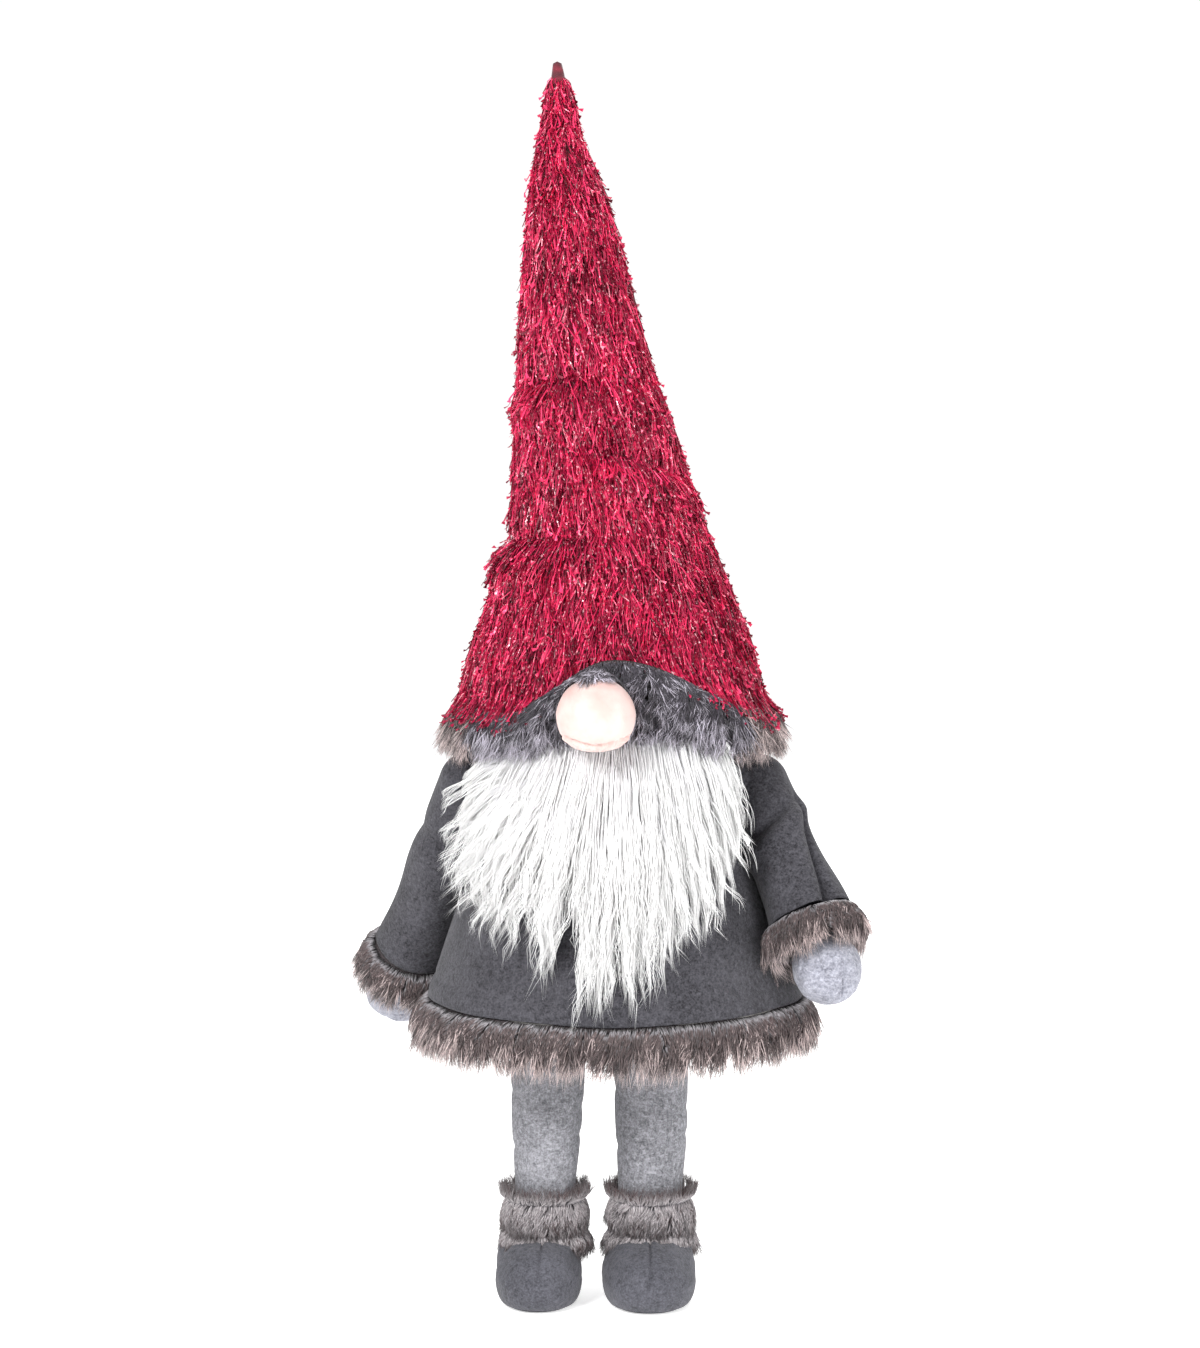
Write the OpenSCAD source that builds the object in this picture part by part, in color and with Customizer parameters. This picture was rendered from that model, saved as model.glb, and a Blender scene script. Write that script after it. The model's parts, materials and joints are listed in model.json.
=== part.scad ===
// Standing tomte gnome: a stuffed cone body on two rodded legs, with a coat, a long beard,
// a ball nose and a tall wired hat. The figure faces -Y and stands on z = 0.

/* [Body] */
// Height of the coat's shoulder line above the floor
shoulder_line_z = 458; // [450:1:462]
// Radius of the coat at the shoulder line
shoulder_line_r = 72; // [66:1:74]
// Height of the coat's lower edge, where the hem fur starts
hem_z = 252; // [248:1:256]
// Radius of the coat at its lower edge
hem_r = 149; // [147:1:150]
// Thickness of the coat cloth
coat_t = 2; // [1.5:0.1:2]

/* [Legs] */
// Radius of a felt leg
leg_r = 32; // [30:1:33]
// Place of the right leg to the side of the middle
right_leg_x = -57; // [-60:1:-55]
// Place of the left leg to the side of the middle
left_leg_x = 31; // [28:1:33]
// Radius of the wooden rod inside a leg
rod_r = 5; // [4:0.5:8]

/* [Boots] */
// Radius of a boot's toe
toe_r = 38; // [36:1:39]
// Radius of a boot's heel
heel_r = 31; // [29:1:33]
// Thickness of a boot's sole
sole_t = 4; // [3:0.5:4]

/* [Arms] */
// Distance of a shoulder from the middle
shoulder_x = 117; // [117:1:119]
// Height of the shoulders
shoulder_z = 422; // [420:1:422]
// Radius of the stuffed sleeve head
sleeve_head_r = 24; // [22:1:24]
// Radius of a sleeve at its end
sleeve_end_r = 34; // [32:1:34]
// Length of the right sleeve
right_sleeve_l = 180; // [174:1:182]
// Length of the left sleeve, which is bunched up
left_sleeve_l = 118; // [116:1:122]

/* [Hat] */
// Height of the hat's tip
hat_top_z = 1000; // [980:1:1020]
// Radius of the hat cloth at its lower edge
hat_base_r = 120; // [118:1:122]
// Height of the lower fold, where the hat leans
lean_z = 622; // [618:1:626]
// Radius of the hat cloth at the lower fold
lean_r = 80; // [78:1:82]
// Height of the upper fold, where the tip nods
nod_z = 749; // [745:1:753]
// Radius of the hat cloth at the upper fold
nod_r = 50; // [48:1:52]
// Radius of the hat's wire
wire_r = 1.5; // [1:0.1:2]

/* [Hidden] */
$fn = 64;

middle = [4, 9, 0]; // moves the figure so that its box stands over the origin
gap = 0.3; // clearance between pieces that only touch
rod_gap = 0.2; // clearance round a wooden rod in its hole
head_gap = 0.4; // clearance round a stuffed sleeve head
past = 1; // how far a cutter reaches past a face
skim = 0.001; // the same where its taper has to stay true
cloth_t = 2; // thickness of lining, felt and hat cloth

// colours
coat_grey = [0.27, 0.27, 0.29];
felt_grey = [0.62, 0.63, 0.66];
fur_grey = [0.46, 0.41, 0.39];
hat_red = [0.62, 0.05, 0.13];
hair_white = [0.93, 0.92, 0.9];
skin = [0.96, 0.84, 0.78];
filling = [0.95, 0.95, 0.92];
wood = [0.76, 0.6, 0.4];
steel = [0.6, 0.6, 0.62];
sand = [0.72, 0.63, 0.48];

// the coat's outer outline, from the hem up: [radius, height]
waist = [125, 328];
armhole = [86, 420];
coat_line = [[hem_r, hem_z], waist, armhole, [shoulder_line_r, shoulder_line_z]];

// body
bottom_z = 228; // underside of the stuffed body
bottom_r = hem_r + 1; // the body swells a little inside the hem fur
board_r = 118;
board_t = 4;
ballast_r = 78;
ballast_t = 22;
stuffing_gap = 1.5; // clearance between the body's bag and its stuffing
hem_fur_t = 10;
hem_fur_drop = 36;

// boots
right_boot = [-4, 0]; // place of a boot relative to its leg
left_boot = [-2, -4];
toe_y = -40;
toe_h = 9; // height of the toe's upright edge
vamp_y = -37; // the rounded top of the toe
vamp_z = 24;
vamp_r = toe_r - 9;
vamp_h = 10;
heel_y = 12;
heel_h = 14;
boot_top_y = 2;
boot_top_z = 50;
boot_top_r = 37;
sole_rim = 0.5; // how far the sole stands out round the boot
boot_wall = 3;
leg_foot_z = 24; // underside of a leg inside its boot
leg_l = bottom_z - gap - leg_foot_z;
weight_y = -12; // place of the weight in a boot
weight_r = 25;
weight_t = 16;
fur_lower_z = [50.5, 66];
fur_upper_z = [66.5, 94];
boot_fur_t = 6;
boot_fur_bevel = 7; // height over which a boot's fur thins towards its ends

// arms: unit directions from the shoulder to the hand, and the shoulders' place in y
right_arm_y = 8;
left_arm_y = -8;
right_arm_side = [-0.28, 0.46];
left_arm_side = [0.32, -0.44];
sleeve_cloth_t = 1.5; // thickness of a sleeve's cloth at the shoulder
sleeve_seat = 20; // from the shoulder down to where a sleeve is hollow
sleeve_fur_l = 34;
sleeve_fur_t = 4;
hand_r = 27;
hand_reach = 50; // from the sleeve's end to the middle of the mitten
wrist_back = 20; // from the middle of the mitten back to its round wrist
tab_r = 9; // gathered cloth between a sleeve head and the coat
tab_l = shoulder_x - armhole[0] - 4;

// hat: the three stretches of the hat's middle line
brim_z = [460, 490];
brim_t = 12;
brim_raise = 40;
brim_arch = [42, 62]; // degrees from the nose over which the brim comes down, right and left
hat_base_z = 480;
lean_point = [-2, 0, lean_z];
nod_point = [-22, 0, nod_z];
tip_point = [-44, 0, hat_top_z];
tip_r = 4;
tip_solid = 40; // length of the tip above its stuffing
lean_limit = 20;
nod_limit = 30;
fold_spare = 5; // degrees of cup edge that stay clear of the cloth at a limit

// nose and beard
nose_r = 30;
nose_cloth_t = 1.5;
nose_point = [-14, -146.5, 495];
beard_top_z = 455; // just below the sewn edge that the beard hinges on
beard_top_r = 123;
beard_tip_r = 168;
beard_t = 14;
beard_top_t = 6;
beard_thick_z = 425; // height at which the beard reaches its full thickness
beard_outline = [
    [-60, beard_top_z], [60, beard_top_z], [84, 405], [80, 345], [52, 292],
    [0, 258], [-58, 292], [-84, 345], [-84, 405]
];

// Completes a sideways slope to a unit vector that points down.
function downwards(side) = [side[0], side[1], -sqrt(1 - side[0] * side[0] - side[1] * side[1])];

// Outline of a round shell between two lines of [radius, height] points.
function between(outer, inner) = concat(outer, [for (i = [len(inner) - 1:-1:0]) inner[i]]);

// The same outline with its radii made smaller.
function inset(line, by) = [for (p = line) [p[0] - by, p[1]]];

// Moves and turns children so that +Z runs from one point to another.
module along(from, to) {
    d = to - from;
    translate(from)
        rotate([0, acos(d[2] / norm(d)), atan2(d[1], d[0])])
            children();
}

// ---------- body ----------

// A solid of revolution under a line of [radius, height] points.
module turned(line) {
    last = len(line) - 1;
    rotate_extrude($fn = 96)
        polygon(concat(line, [[0, line[last][1]], [0, line[0][1]]]));
}

body_line = concat([[bottom_r - 4, bottom_z]], inset(coat_line, coat_t + gap));

module body_bag() {
    inside = [for (p = body_line) [p[0] - cloth_t, min(p[1], shoulder_line_z - 2 * cloth_t)]];
    color(felt_grey) difference() {
        turned(body_line);
        translate([0, 0, cloth_t]) turned(inside);
        rod_holes(bottom_z);
    }
}

// The two holes that the legs' rods pass through.
module rod_holes(z) {
    for (x = [right_leg_x, left_leg_x])
        translate([x, 0, z - past]) cylinder(r = rod_r + rod_gap, h = board_t + cloth_t + 2 * past);
}

module body_stuffing() {
    top = shoulder_line_z - cloth_t - 2 * gap;
    floor_z = bottom_z + cloth_t + board_t + 2 * gap;
    inner = inset(body_line, cloth_t + stuffing_gap);
    color(filling) difference() {
        intersection() {
            turned([for (p = inner) [p[0], min(p[1], top - stuffing_gap)]]);
            translate([0, 0, floor_z]) cylinder(r = 2 * hem_r, h = top - floor_z);
        }
        translate([0, 0, floor_z - past]) cylinder(r = ballast_r + gap, h = ballast_t + past + gap);
    }
}

module base_board() {
    z = bottom_z + cloth_t + gap / 2;
    color(wood) difference() {
        translate([0, 0, z]) cylinder(r = board_r, h = board_t);
        rod_holes(z);
    }
}

module ballast_bag() {
    z = bottom_z + cloth_t + board_t + 3 * gap;
    color(sand) translate([0, 0, z]) cylinder(r = ballast_r, h = ballast_t - gap);
}

module coat() {
    color(coat_grey) rotate_extrude($fn = 96)
        polygon(between(coat_line, inset(coat_line, coat_t)));
}

// A band of fur turned round the Z axis, with its outer corners cut off.
module fur_band(inner, thick, z) {
    cut = thick / 2;
    rotate_extrude($fn = 96)
        polygon([
            [inner, z[0]], [inner + cut, z[0]], [inner + thick, z[0] + 2 * cut],
            [inner + thick, z[1] - cut], [inner + cut, z[1]], [inner, z[1]]
        ]);
}

module coat_hem_fur() {
    color(fur_grey) fur_band(hem_r - coat_t + gap, hem_fur_t, [hem_z - hem_fur_drop, hem_z - gap]);
}

// ---------- legs and boots ----------

module leg(x) {
    color(felt_grey) translate([x, 0, leg_foot_z]) difference() {
        cylinder(r = leg_r, h = leg_l);
        translate([0, 0, -past]) cylinder(r = leg_r - cloth_t, h = leg_l + 2 * past);
    }
}

module leg_stuffing(x) {
    color(filling) translate([x, 0, leg_foot_z]) difference() {
        cylinder(r = leg_r - cloth_t - gap, h = leg_l);
        translate([0, 0, -past]) cylinder(r = rod_r + gap, h = leg_l + 2 * past);
    }
}

module leg_rod(x) {
    color(wood) translate([x, 0, leg_foot_z]) cylinder(r = rod_r, h = leg_l + cloth_t + board_t);
}

// The block that a boot is shaped on, made smaller by a wall.
module boot_block(wall) {
    hull() {
        translate([0, toe_y, sole_t + wall]) cylinder(r = toe_r - wall, h = toe_h, $fn = 32);
        translate([0, vamp_y, vamp_z - wall / 2]) cylinder(r = vamp_r - wall, h = vamp_h, $fn = 32);
        translate([0, heel_y, sole_t + wall]) cylinder(r = heel_r - wall, h = heel_h, $fn = 32);
        translate([0, boot_top_y, boot_top_z - past - wall]) cylinder(r = boot_top_r - wall, h = past, $fn = 32);
    }
}

module boot_upper(x, shift) {
    color(coat_grey) difference() {
        translate([x + shift[0], shift[1], 0]) boot_block(0);
        translate([x + shift[0], shift[1], 0]) boot_block(boot_wall);
        translate([x, 0, leg_foot_z]) cylinder(r = leg_r + gap, h = boot_top_z);
    }
}

module boot_sole(x, shift) {
    color(coat_grey) translate([x + shift[0], shift[1], 0]) linear_extrude(sole_t - gap / 2) hull() {
        translate([0, toe_y]) circle(r = toe_r + sole_rim, $fn = 48);
        translate([0, heel_y]) circle(r = heel_r + sole_rim, $fn = 48);
    }
}

module boot_weight(x, shift) {
    color(sand) translate([x + shift[0], shift[1] + weight_y, sole_t + boot_wall + gap])
        cylinder(r = weight_r, h = weight_t - gap);
}

// A fur band round a leg, thinner towards its ends.
module leg_fur(x, span) {
    inner = leg_r + gap;
    end = inner + boot_fur_t - 2;
    full = inner + boot_fur_t;
    color(fur_grey) translate([x, 0, 0]) rotate_extrude()
        polygon([
            [inner, span[0]], [end, span[0]], [full, span[0] + boot_fur_bevel],
            [full, span[1] - boot_fur_bevel], [end, span[1]], [inner, span[1]]
        ]);
}

// ---------- arms ----------

// Places children with the shoulder at the origin and the arm along +Z.
module arm_frame(side, y, slope) {
    from = [side * shoulder_x, y, shoulder_z];
    along(from, from + downwards(slope)) children();
}

module sleeve_head(side, y) {
    color(coat_grey) translate([side * shoulder_x, y, shoulder_z]) {
        sphere(r = sleeve_head_r);
        rotate([0, -90 * side, 0]) cylinder(r = tab_r, h = tab_l);
    }
}

module sleeve(length) {
    color(coat_grey) difference() {
        cylinder(r1 = sleeve_head_r, r2 = sleeve_end_r, h = length);
        sphere(r = sleeve_head_r + head_gap);
        translate([0, 0, sleeve_seat])
            cylinder(r1 = sleeve_head_r - sleeve_cloth_t, r2 = sleeve_end_r - cloth_t, h = length - sleeve_seat + 0.1);
    }
}

module arm_stuffing(length) {
    start = sleeve_seat + past;
    inset = cloth_t + 5 * gap;
    color(filling) difference() {
        translate([0, 0, start])
            cylinder(r1 = sleeve_head_r - sleeve_cloth_t - gap, r2 = sleeve_end_r - inset, h = length - start - 4);
        sphere(r = sleeve_head_r + head_gap);
        translate([0, 0, length + hand_reach - wrist_back]) sphere(r = hand_r + gap);
    }
}

module sleeve_fur(length) {
    inner = sleeve_end_r - 2 * cloth_t;
    outer = sleeve_end_r + sleeve_fur_t;
    bevel = sleeve_fur_t;
    color(fur_grey) translate([0, 0, length + gap]) rotate_extrude()
        polygon([
            [inner, 0], [outer - bevel, 0], [outer, 2 * bevel], [outer, sleeve_fur_l - 2 * bevel],
            [outer - bevel, sleeve_fur_l], [inner, sleeve_fur_l]
        ]);
}

// A mitten: a stuffed ball with a round wrist inside the sleeve's fur.
module mitten(length) {
    color(felt_grey) {
        translate([0, 0, length + hand_reach]) sphere(r = hand_r);
        translate([0, 0, length + hand_reach - wrist_back]) sphere(r = hand_r);
    }
}

// ---------- hat ----------

// How far a cup's edge lies below its fold, so that the cloth above stays clear of it: for
// a ball of a radius, a fold that is bent at rest, and the most that it bends further.
function cup_drop(r, rest, limit) = r * sin(rest + limit + fold_spare);

lean_rest = atan2(lean_point[0] - nod_point[0], nod_z - lean_z);
lean_drop = cup_drop(lean_r, lean_rest, lean_limit);
nod_drop = cup_drop(nod_r, 0, nod_limit);
base_top_r = lookup(lean_z - lean_drop, [[hat_base_z, hat_base_r], [lean_z, lean_r]]);
mid_l = norm(nod_point - lean_point);
mid_top_r = lookup(mid_l - nod_drop, [[0, lean_r], [mid_l, nod_r]]);
tip_l = norm(tip_point - nod_point);
ball_spare = 2; // how much smaller the ball of stuffing in a fold is than its cloth
wire_end = 8; // how far a stretch of wire stays inside its stuffing

module hat_base_cloth() {
    h = lean_z - lean_drop - hat_base_z;
    color(hat_red) translate([0, 0, hat_base_z]) difference() {
        cylinder(r1 = hat_base_r, r2 = base_top_r, h = h);
        translate([0, 0, -past]) cylinder(r1 = hat_base_r - cloth_t + gap, r2 = base_top_r - cloth_t, h = h + past + skim);
    }
}

module hat_base_stuffing() {
    h = lean_z - lean_drop - hat_base_z - 1;
    inset = cloth_t + 2 * gap;
    color(filling) difference() {
        union() {
            translate([0, 0, hat_base_z]) cylinder(r1 = hat_base_r - inset, r2 = base_top_r - inset, h = h);
            translate([0, 0, brim_z[0]]) cylinder(r = hat_base_r - inset, h = hat_base_z - brim_z[0]);
            translate([0, 0, shoulder_line_z + gap]) cylinder(r = shoulder_line_r - cloth_t, h = 10);
        }
        translate(lean_point) sphere(r = lean_r - ball_spare + 2 * gap, $fn = 96);
        translate([lean_point[0], 0, shoulder_line_z]) cylinder(r = wire_r + gap, h = lean_z - shoulder_line_z);
    }
}

module hat_base_wire() {
    z = shoulder_line_z + wire_end;
    color(steel) translate([lean_point[0], 0, z])
        cylinder(r = wire_r, h = lean_z - lean_r - z, $fn = 24);
}

module hat_mid_cloth() {
    color(hat_red) along(lean_point, nod_point) difference() {
        cylinder(r1 = lean_r, r2 = mid_top_r, h = mid_l - nod_drop);
        translate([0, 0, -skim])
            cylinder(r1 = lean_r - cloth_t, r2 = mid_top_r - cloth_t, h = mid_l - nod_drop + 2 * skim);
    }
}

module hat_mid_stuffing() {
    inset = cloth_t + 2 * gap;
    color(filling) along(lean_point, nod_point) difference() {
        union() {
            cylinder(r1 = lean_r - inset, r2 = mid_top_r - inset, h = mid_l - nod_drop - 1);
            intersection() {
                sphere(r = lean_r - ball_spare, $fn = 96);
                translate([0, 0, -2 * lean_r]) cylinder(r = lean_r - inset, h = 2 * lean_r + 1);
            }
        }
        translate([0, 0, mid_l]) sphere(r = nod_r - ball_spare + 2 * gap, $fn = 96);
        translate([0, 0, -lean_r]) cylinder(r = wire_r + gap, h = mid_l + lean_r);
    }
}

module hat_mid_wire() {
    color(steel) along(lean_point, nod_point) translate([0, 0, wire_end - lean_r])
        cylinder(r = wire_r, h = mid_l - nod_r - wire_end + lean_r, $fn = 24);
}

module hat_tip_cloth() {
    color(hat_red) along(nod_point, tip_point) difference() {
        cylinder(r1 = nod_r, r2 = tip_r, h = tip_l);
        translate([0, 0, -skim]) cylinder(r1 = nod_r - cloth_t, r2 = tip_r - cloth_t, h = tip_l - tip_r);
    }
}

module hat_tip_stuffing() {
    inset = cloth_t + 2 * gap;
    color(filling) along(nod_point, tip_point) difference() {
        union() {
            cylinder(r1 = nod_r - inset, r2 = tip_r + 1.4, h = tip_l - tip_solid);
            intersection() {
                sphere(r = nod_r - ball_spare, $fn = 96);
                translate([0, 0, -2 * nod_r]) cylinder(r = nod_r - inset, h = 2 * nod_r + 1);
            }
        }
        translate([0, 0, -nod_r]) cylinder(r = wire_r + gap, h = tip_l + nod_r);
    }
}

module hat_tip_wire() {
    color(steel) along(nod_point, tip_point) translate([0, 0, wire_end - nod_r])
        cylinder(r = wire_r, h = tip_l - tip_solid - 20 - wire_end + nod_r, $fn = 24);
}

// How far the brim is raised at an angle from the nose, with the arch wider on the left.
function brim_rise(angle) = let (
    turn = (angle + 540) % 360 - 180,
    share = min(1, abs(turn) / (turn > 0 ? brim_arch[1] : brim_arch[0]))
) brim_raise * (1 + cos(180 * share)) / 2;

// The brim is a ring whose section rises over the nose.
module hat_brim_fur() {
    inner = hat_base_r + gap;
    cut = brim_t / 2;
    section = [
        [inner, brim_z[0]], [inner + cut, brim_z[0]], [inner + brim_t, brim_z[0] + cut],
        [inner + brim_t, brim_z[1] - cut], [inner + cut, brim_z[1]], [inner, brim_z[1]]
    ];
    sides = len(section);
    steps = 72;
    points = [for (i = [0:steps - 1], p = section) let (a = i * 360 / steps)
        [p[0] * sin(a), -p[0] * cos(a), p[1] + brim_rise(a)]];
    faces = [for (i = [0:steps - 1], j = [0:sides - 1]) let (k = (i + 1) % steps, m = (j + 1) % sides)
        [i * sides + j, i * sides + m, k * sides + m, k * sides + j]];
    color(fur_grey) difference() {
        polyhedron(points, faces, convexity = 4);
        translate(nose_point) sphere(r = nose_r + gap);
    }
}

// ---------- face ----------

module nose_cover() {
    color(skin) translate(nose_point) difference() {
        sphere(r = nose_r);
        sphere(r = nose_r - nose_cloth_t);
    }
}

module nose_filling() {
    color(filling) translate(nose_point) sphere(r = nose_r - nose_cloth_t - gap / 2);
}

// Radius of the beard's outside at a height: it hangs straight from the hat's edge.
function beard_r(z) = lookup(z, [[hem_z, beard_tip_r], [beard_top_z + 5, beard_top_r]]);

// A line that lies inside the beard's outside by a depth, and by another at its top.
function in_beard(depth, top_depth) = [for (p = [
    [hem_z, depth], [beard_thick_z, depth], [beard_top_z + 5, top_depth]
]) [beard_r(p[0]) - p[1], p[0]]];

// A curved slab between two lines, cut to the beard's outline.
module beard_slab(outer, inner, trim) {
    intersection() {
        rotate_extrude($fn = 96) polygon(between(outer, inner));
        rotate([90, 0, 0]) linear_extrude(2 * beard_tip_r) offset(delta = -trim) polygon(beard_outline);
    }
}

module beard_backing() {
    color(hair_white) beard_slab(in_beard(beard_t - 2, beard_top_t - 2), in_beard(beard_t, beard_top_t), 4);
}

module beard_hair() {
    front = in_beard(0, 0);
    color(hair_white) beard_slab(front, in_beard(beard_t - 2 - gap, beard_top_t - 2 - gap), 0);
}

// ---------- which node is drawn ----------

// Stands children over the origin.
module placed() {
    translate(middle) children();
}

placed() body_bag();
placed() body_stuffing();
placed() ballast_bag();
placed() base_board();
placed() coat();
placed() coat_hem_fur();
placed() nose_cover();
placed() nose_filling();
placed() beard_backing();
placed() beard_hair();
placed() hat_brim_fur();
placed() hat_base_cloth();
placed() hat_base_stuffing();
placed() hat_base_wire();
placed() hat_mid_cloth();
placed() hat_mid_stuffing();
placed() hat_mid_wire();
placed() hat_tip_cloth();
placed() hat_tip_stuffing();
placed() hat_tip_wire();

placed() leg(right_leg_x);  // right_leg
placed() leg_stuffing(right_leg_x);  // right_leg_stuffing
placed() leg_rod(right_leg_x);  // right_leg_rod
placed() boot_upper(right_leg_x, right_boot);  // right_boot_upper
placed() boot_sole(right_leg_x, right_boot);  // right_boot_sole
placed() boot_weight(right_leg_x, right_boot);  // right_boot_weight
placed() leg_fur(right_leg_x, fur_upper_z);  // right_boot_fur_upper
placed() leg_fur(right_leg_x, fur_lower_z);  // right_boot_fur_lower

placed() leg(left_leg_x);  // left_leg
placed() leg_stuffing(left_leg_x);  // left_leg_stuffing
placed() leg_rod(left_leg_x);  // left_leg_rod
placed() boot_upper(left_leg_x, left_boot);  // left_boot_upper
placed() boot_sole(left_leg_x, left_boot);  // left_boot_sole
placed() boot_weight(left_leg_x, left_boot);  // left_boot_weight
placed() leg_fur(left_leg_x, fur_upper_z);  // left_boot_fur_upper
placed() leg_fur(left_leg_x, fur_lower_z);  // left_boot_fur_lower

placed() sleeve_head(-1, right_arm_y);  // right_sleeve_head
placed() arm_frame(-1, right_arm_y, right_arm_side) sleeve(right_sleeve_l);  // right_sleeve
placed() arm_frame(-1, right_arm_y, right_arm_side) arm_stuffing(right_sleeve_l);  // right_arm_stuffing
placed() arm_frame(-1, right_arm_y, right_arm_side) sleeve_fur(right_sleeve_l);  // right_sleeve_fur
placed() arm_frame(-1, right_arm_y, right_arm_side) mitten(right_sleeve_l);  // right_mitten

placed() sleeve_head(1, left_arm_y);  // left_sleeve_head
placed() arm_frame(1, left_arm_y, left_arm_side) sleeve(left_sleeve_l);  // left_sleeve
placed() arm_frame(1, left_arm_y, left_arm_side) arm_stuffing(left_sleeve_l);  // left_arm_stuffing
placed() arm_frame(1, left_arm_y, left_arm_side) sleeve_fur(left_sleeve_l);  // left_sleeve_fur
placed() arm_frame(1, left_arm_y, left_arm_side) mitten(left_sleeve_l);  // left_mitten
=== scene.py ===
"""Tomte gnome figurine: its cloth, fur, hair and finishes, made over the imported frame."""
import json
import math
import random

import bmesh
import bpy
from bpy.props import FloatProperty, FloatVectorProperty, IntProperty, PointerProperty
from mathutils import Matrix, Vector, noise


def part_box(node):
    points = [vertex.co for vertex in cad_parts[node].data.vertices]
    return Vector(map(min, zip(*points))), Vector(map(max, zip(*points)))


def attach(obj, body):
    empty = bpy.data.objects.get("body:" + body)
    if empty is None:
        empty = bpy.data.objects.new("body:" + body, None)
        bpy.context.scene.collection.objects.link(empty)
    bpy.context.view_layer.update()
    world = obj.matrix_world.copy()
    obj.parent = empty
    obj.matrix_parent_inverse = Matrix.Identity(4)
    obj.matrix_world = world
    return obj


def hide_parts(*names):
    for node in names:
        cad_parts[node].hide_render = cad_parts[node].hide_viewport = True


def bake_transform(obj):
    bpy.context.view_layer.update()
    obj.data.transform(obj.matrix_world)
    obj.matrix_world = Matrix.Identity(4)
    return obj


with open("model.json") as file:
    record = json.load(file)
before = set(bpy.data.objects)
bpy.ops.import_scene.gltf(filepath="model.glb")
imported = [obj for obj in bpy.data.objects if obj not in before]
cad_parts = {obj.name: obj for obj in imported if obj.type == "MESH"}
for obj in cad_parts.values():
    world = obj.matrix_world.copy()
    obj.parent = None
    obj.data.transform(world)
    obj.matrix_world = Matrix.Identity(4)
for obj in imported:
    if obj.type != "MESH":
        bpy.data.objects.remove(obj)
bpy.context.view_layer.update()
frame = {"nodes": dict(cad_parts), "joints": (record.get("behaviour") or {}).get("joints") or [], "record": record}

bl_info = {
    "name": "Tomte gnome",
    "version": (1, 0, 0),
    "blender": (4, 5, 0),
    "location": "3D View > Sidebar > Tomte",
    "description": "Makes a standing tomte gnome with a tinsel hat, a long beard and a fur-edged coat",
    "category": "Add Mesh",
}

UP = Vector((0, 0, 1))
TURN = 2 * math.pi


# ---------- places read from the frame ----------

def middle_of(node):
    low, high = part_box(node)
    return (Vector(low) + Vector(high)) / 2


def span_of(node, axis):
    low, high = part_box(node)
    return high[axis] - low[axis]


JOINT = {j["name"]: Vector(j["pos_m"]) for j in frame["joints"]}
BODY_AXIS = Vector((middle_of("coat").x, middle_of("coat").y, 0))
HEM_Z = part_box("coat")[0][2]
HEM_R = span_of("coat", 0) / 2
SHOULDER_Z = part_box("coat")[1][2]
NOSE = middle_of("nose_cover")
NOSE_R = span_of("nose_cover", 0) / 2
HAT_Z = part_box("hat_base_cloth")[0][2]
HAT_R = span_of("hat_base_cloth", 0) / 2
LEAN = JOINT["hat_lean"]
NOD = JOINT["hat_tip_nod"]
HAT_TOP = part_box("hat_tip_cloth")[1][2]
LEG = {side: middle_of(f"{side}_leg") for side in ("right", "left")}
LEG_R = span_of("right_leg", 0) / 2
BOOT = {side: middle_of(f"{side}_boot_sole") for side in ("right", "left")}
BOOT_L = span_of("right_boot_sole", 1)
BOOT_W = span_of("right_boot_sole", 0)

# the coat's outline: height and radius
COAT_LINE = ((SHOULDER_Z + 0.012, 0.066), (0.430, 0.083), (0.380, 0.103), (0.328, 0.125),
             (HEM_Z, HEM_R + 0.001))
# the hat's outline: height, sideways place of its middle, and cloth radius
HAT_LINE = (
    (HAT_Z - 0.004, 0.000, 0.1215), (0.531, -0.002, 0.1085), (0.571, -0.003, 0.0955), (0.606, -0.004, 0.0835),
    (0.636, -0.006, 0.0735), (0.676, -0.011, 0.0635), (0.733, -0.020, 0.0535), (0.813, -0.030, 0.0400),
    (0.892, -0.038, 0.0275), (0.950, -0.042, 0.0130), (HAT_TOP, -0.045, 0.0035),
)
HAT_SPLIT_Z = 0.690  # where the hat's cover is parted: all of it follows the middle body there
BEARD_FAN = (0.52, 0.76)  # the share of a lock's turn that its root has, on the right and the left
TUFT_SEED = 1  # fixes where fur parts into tufts; not 0, which means the clock
BEHIND_NOSE = 0.86  # share of the nose's radius within which fur on the brim would be hidden by it
BRIM_RISE = 0.044  # how far the brim is raised over the nose
BRIM_ARCH = (math.radians(44), math.radians(66))  # over which it comes down, on the right and the left
# where the beard's hair starts around the brim, in degrees, and how low it ends there
BEARD_LINE = ((-76, 0.404), (-62, 0.352), (-46, 0.316), (-25, 0.284), (-4, 0.252),
              (12, 0.274), (26, 0.306), (38, 0.330), (51, 0.396))


def between(x, table, column=1):
    """The smooth value of a table's column at x, with the table ordered by its first column."""
    rows = sorted(table)
    if x <= rows[0][0]:
        return rows[0][column]
    if x >= rows[-1][0]:
        return rows[-1][column]
    k = next(i for i in range(len(rows) - 1) if x <= rows[i + 1][0])
    a, b = rows[max(k - 1, 0)], rows[min(k + 2, len(rows) - 1)]
    p, q = rows[k], rows[k + 1]
    step = q[0] - p[0]
    t = (x - p[0]) / step
    slope_p = (q[column] - a[column]) / (q[0] - a[0]) * step
    slope_q = (b[column] - p[column]) / (b[0] - p[0]) * step
    rise = q[column] - p[column]
    return (p[column] + t * slope_p + t * t * (3 * rise - 2 * slope_p - slope_q)
            + t * t * t * (slope_p + slope_q - 2 * rise))


def fade(x, low, high):
    """0 below low, 1 above high, and a smooth step between them."""
    t = min(max((x - low) / (high - low), 0), 1)
    return t * t * (3 - 2 * t)


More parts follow.
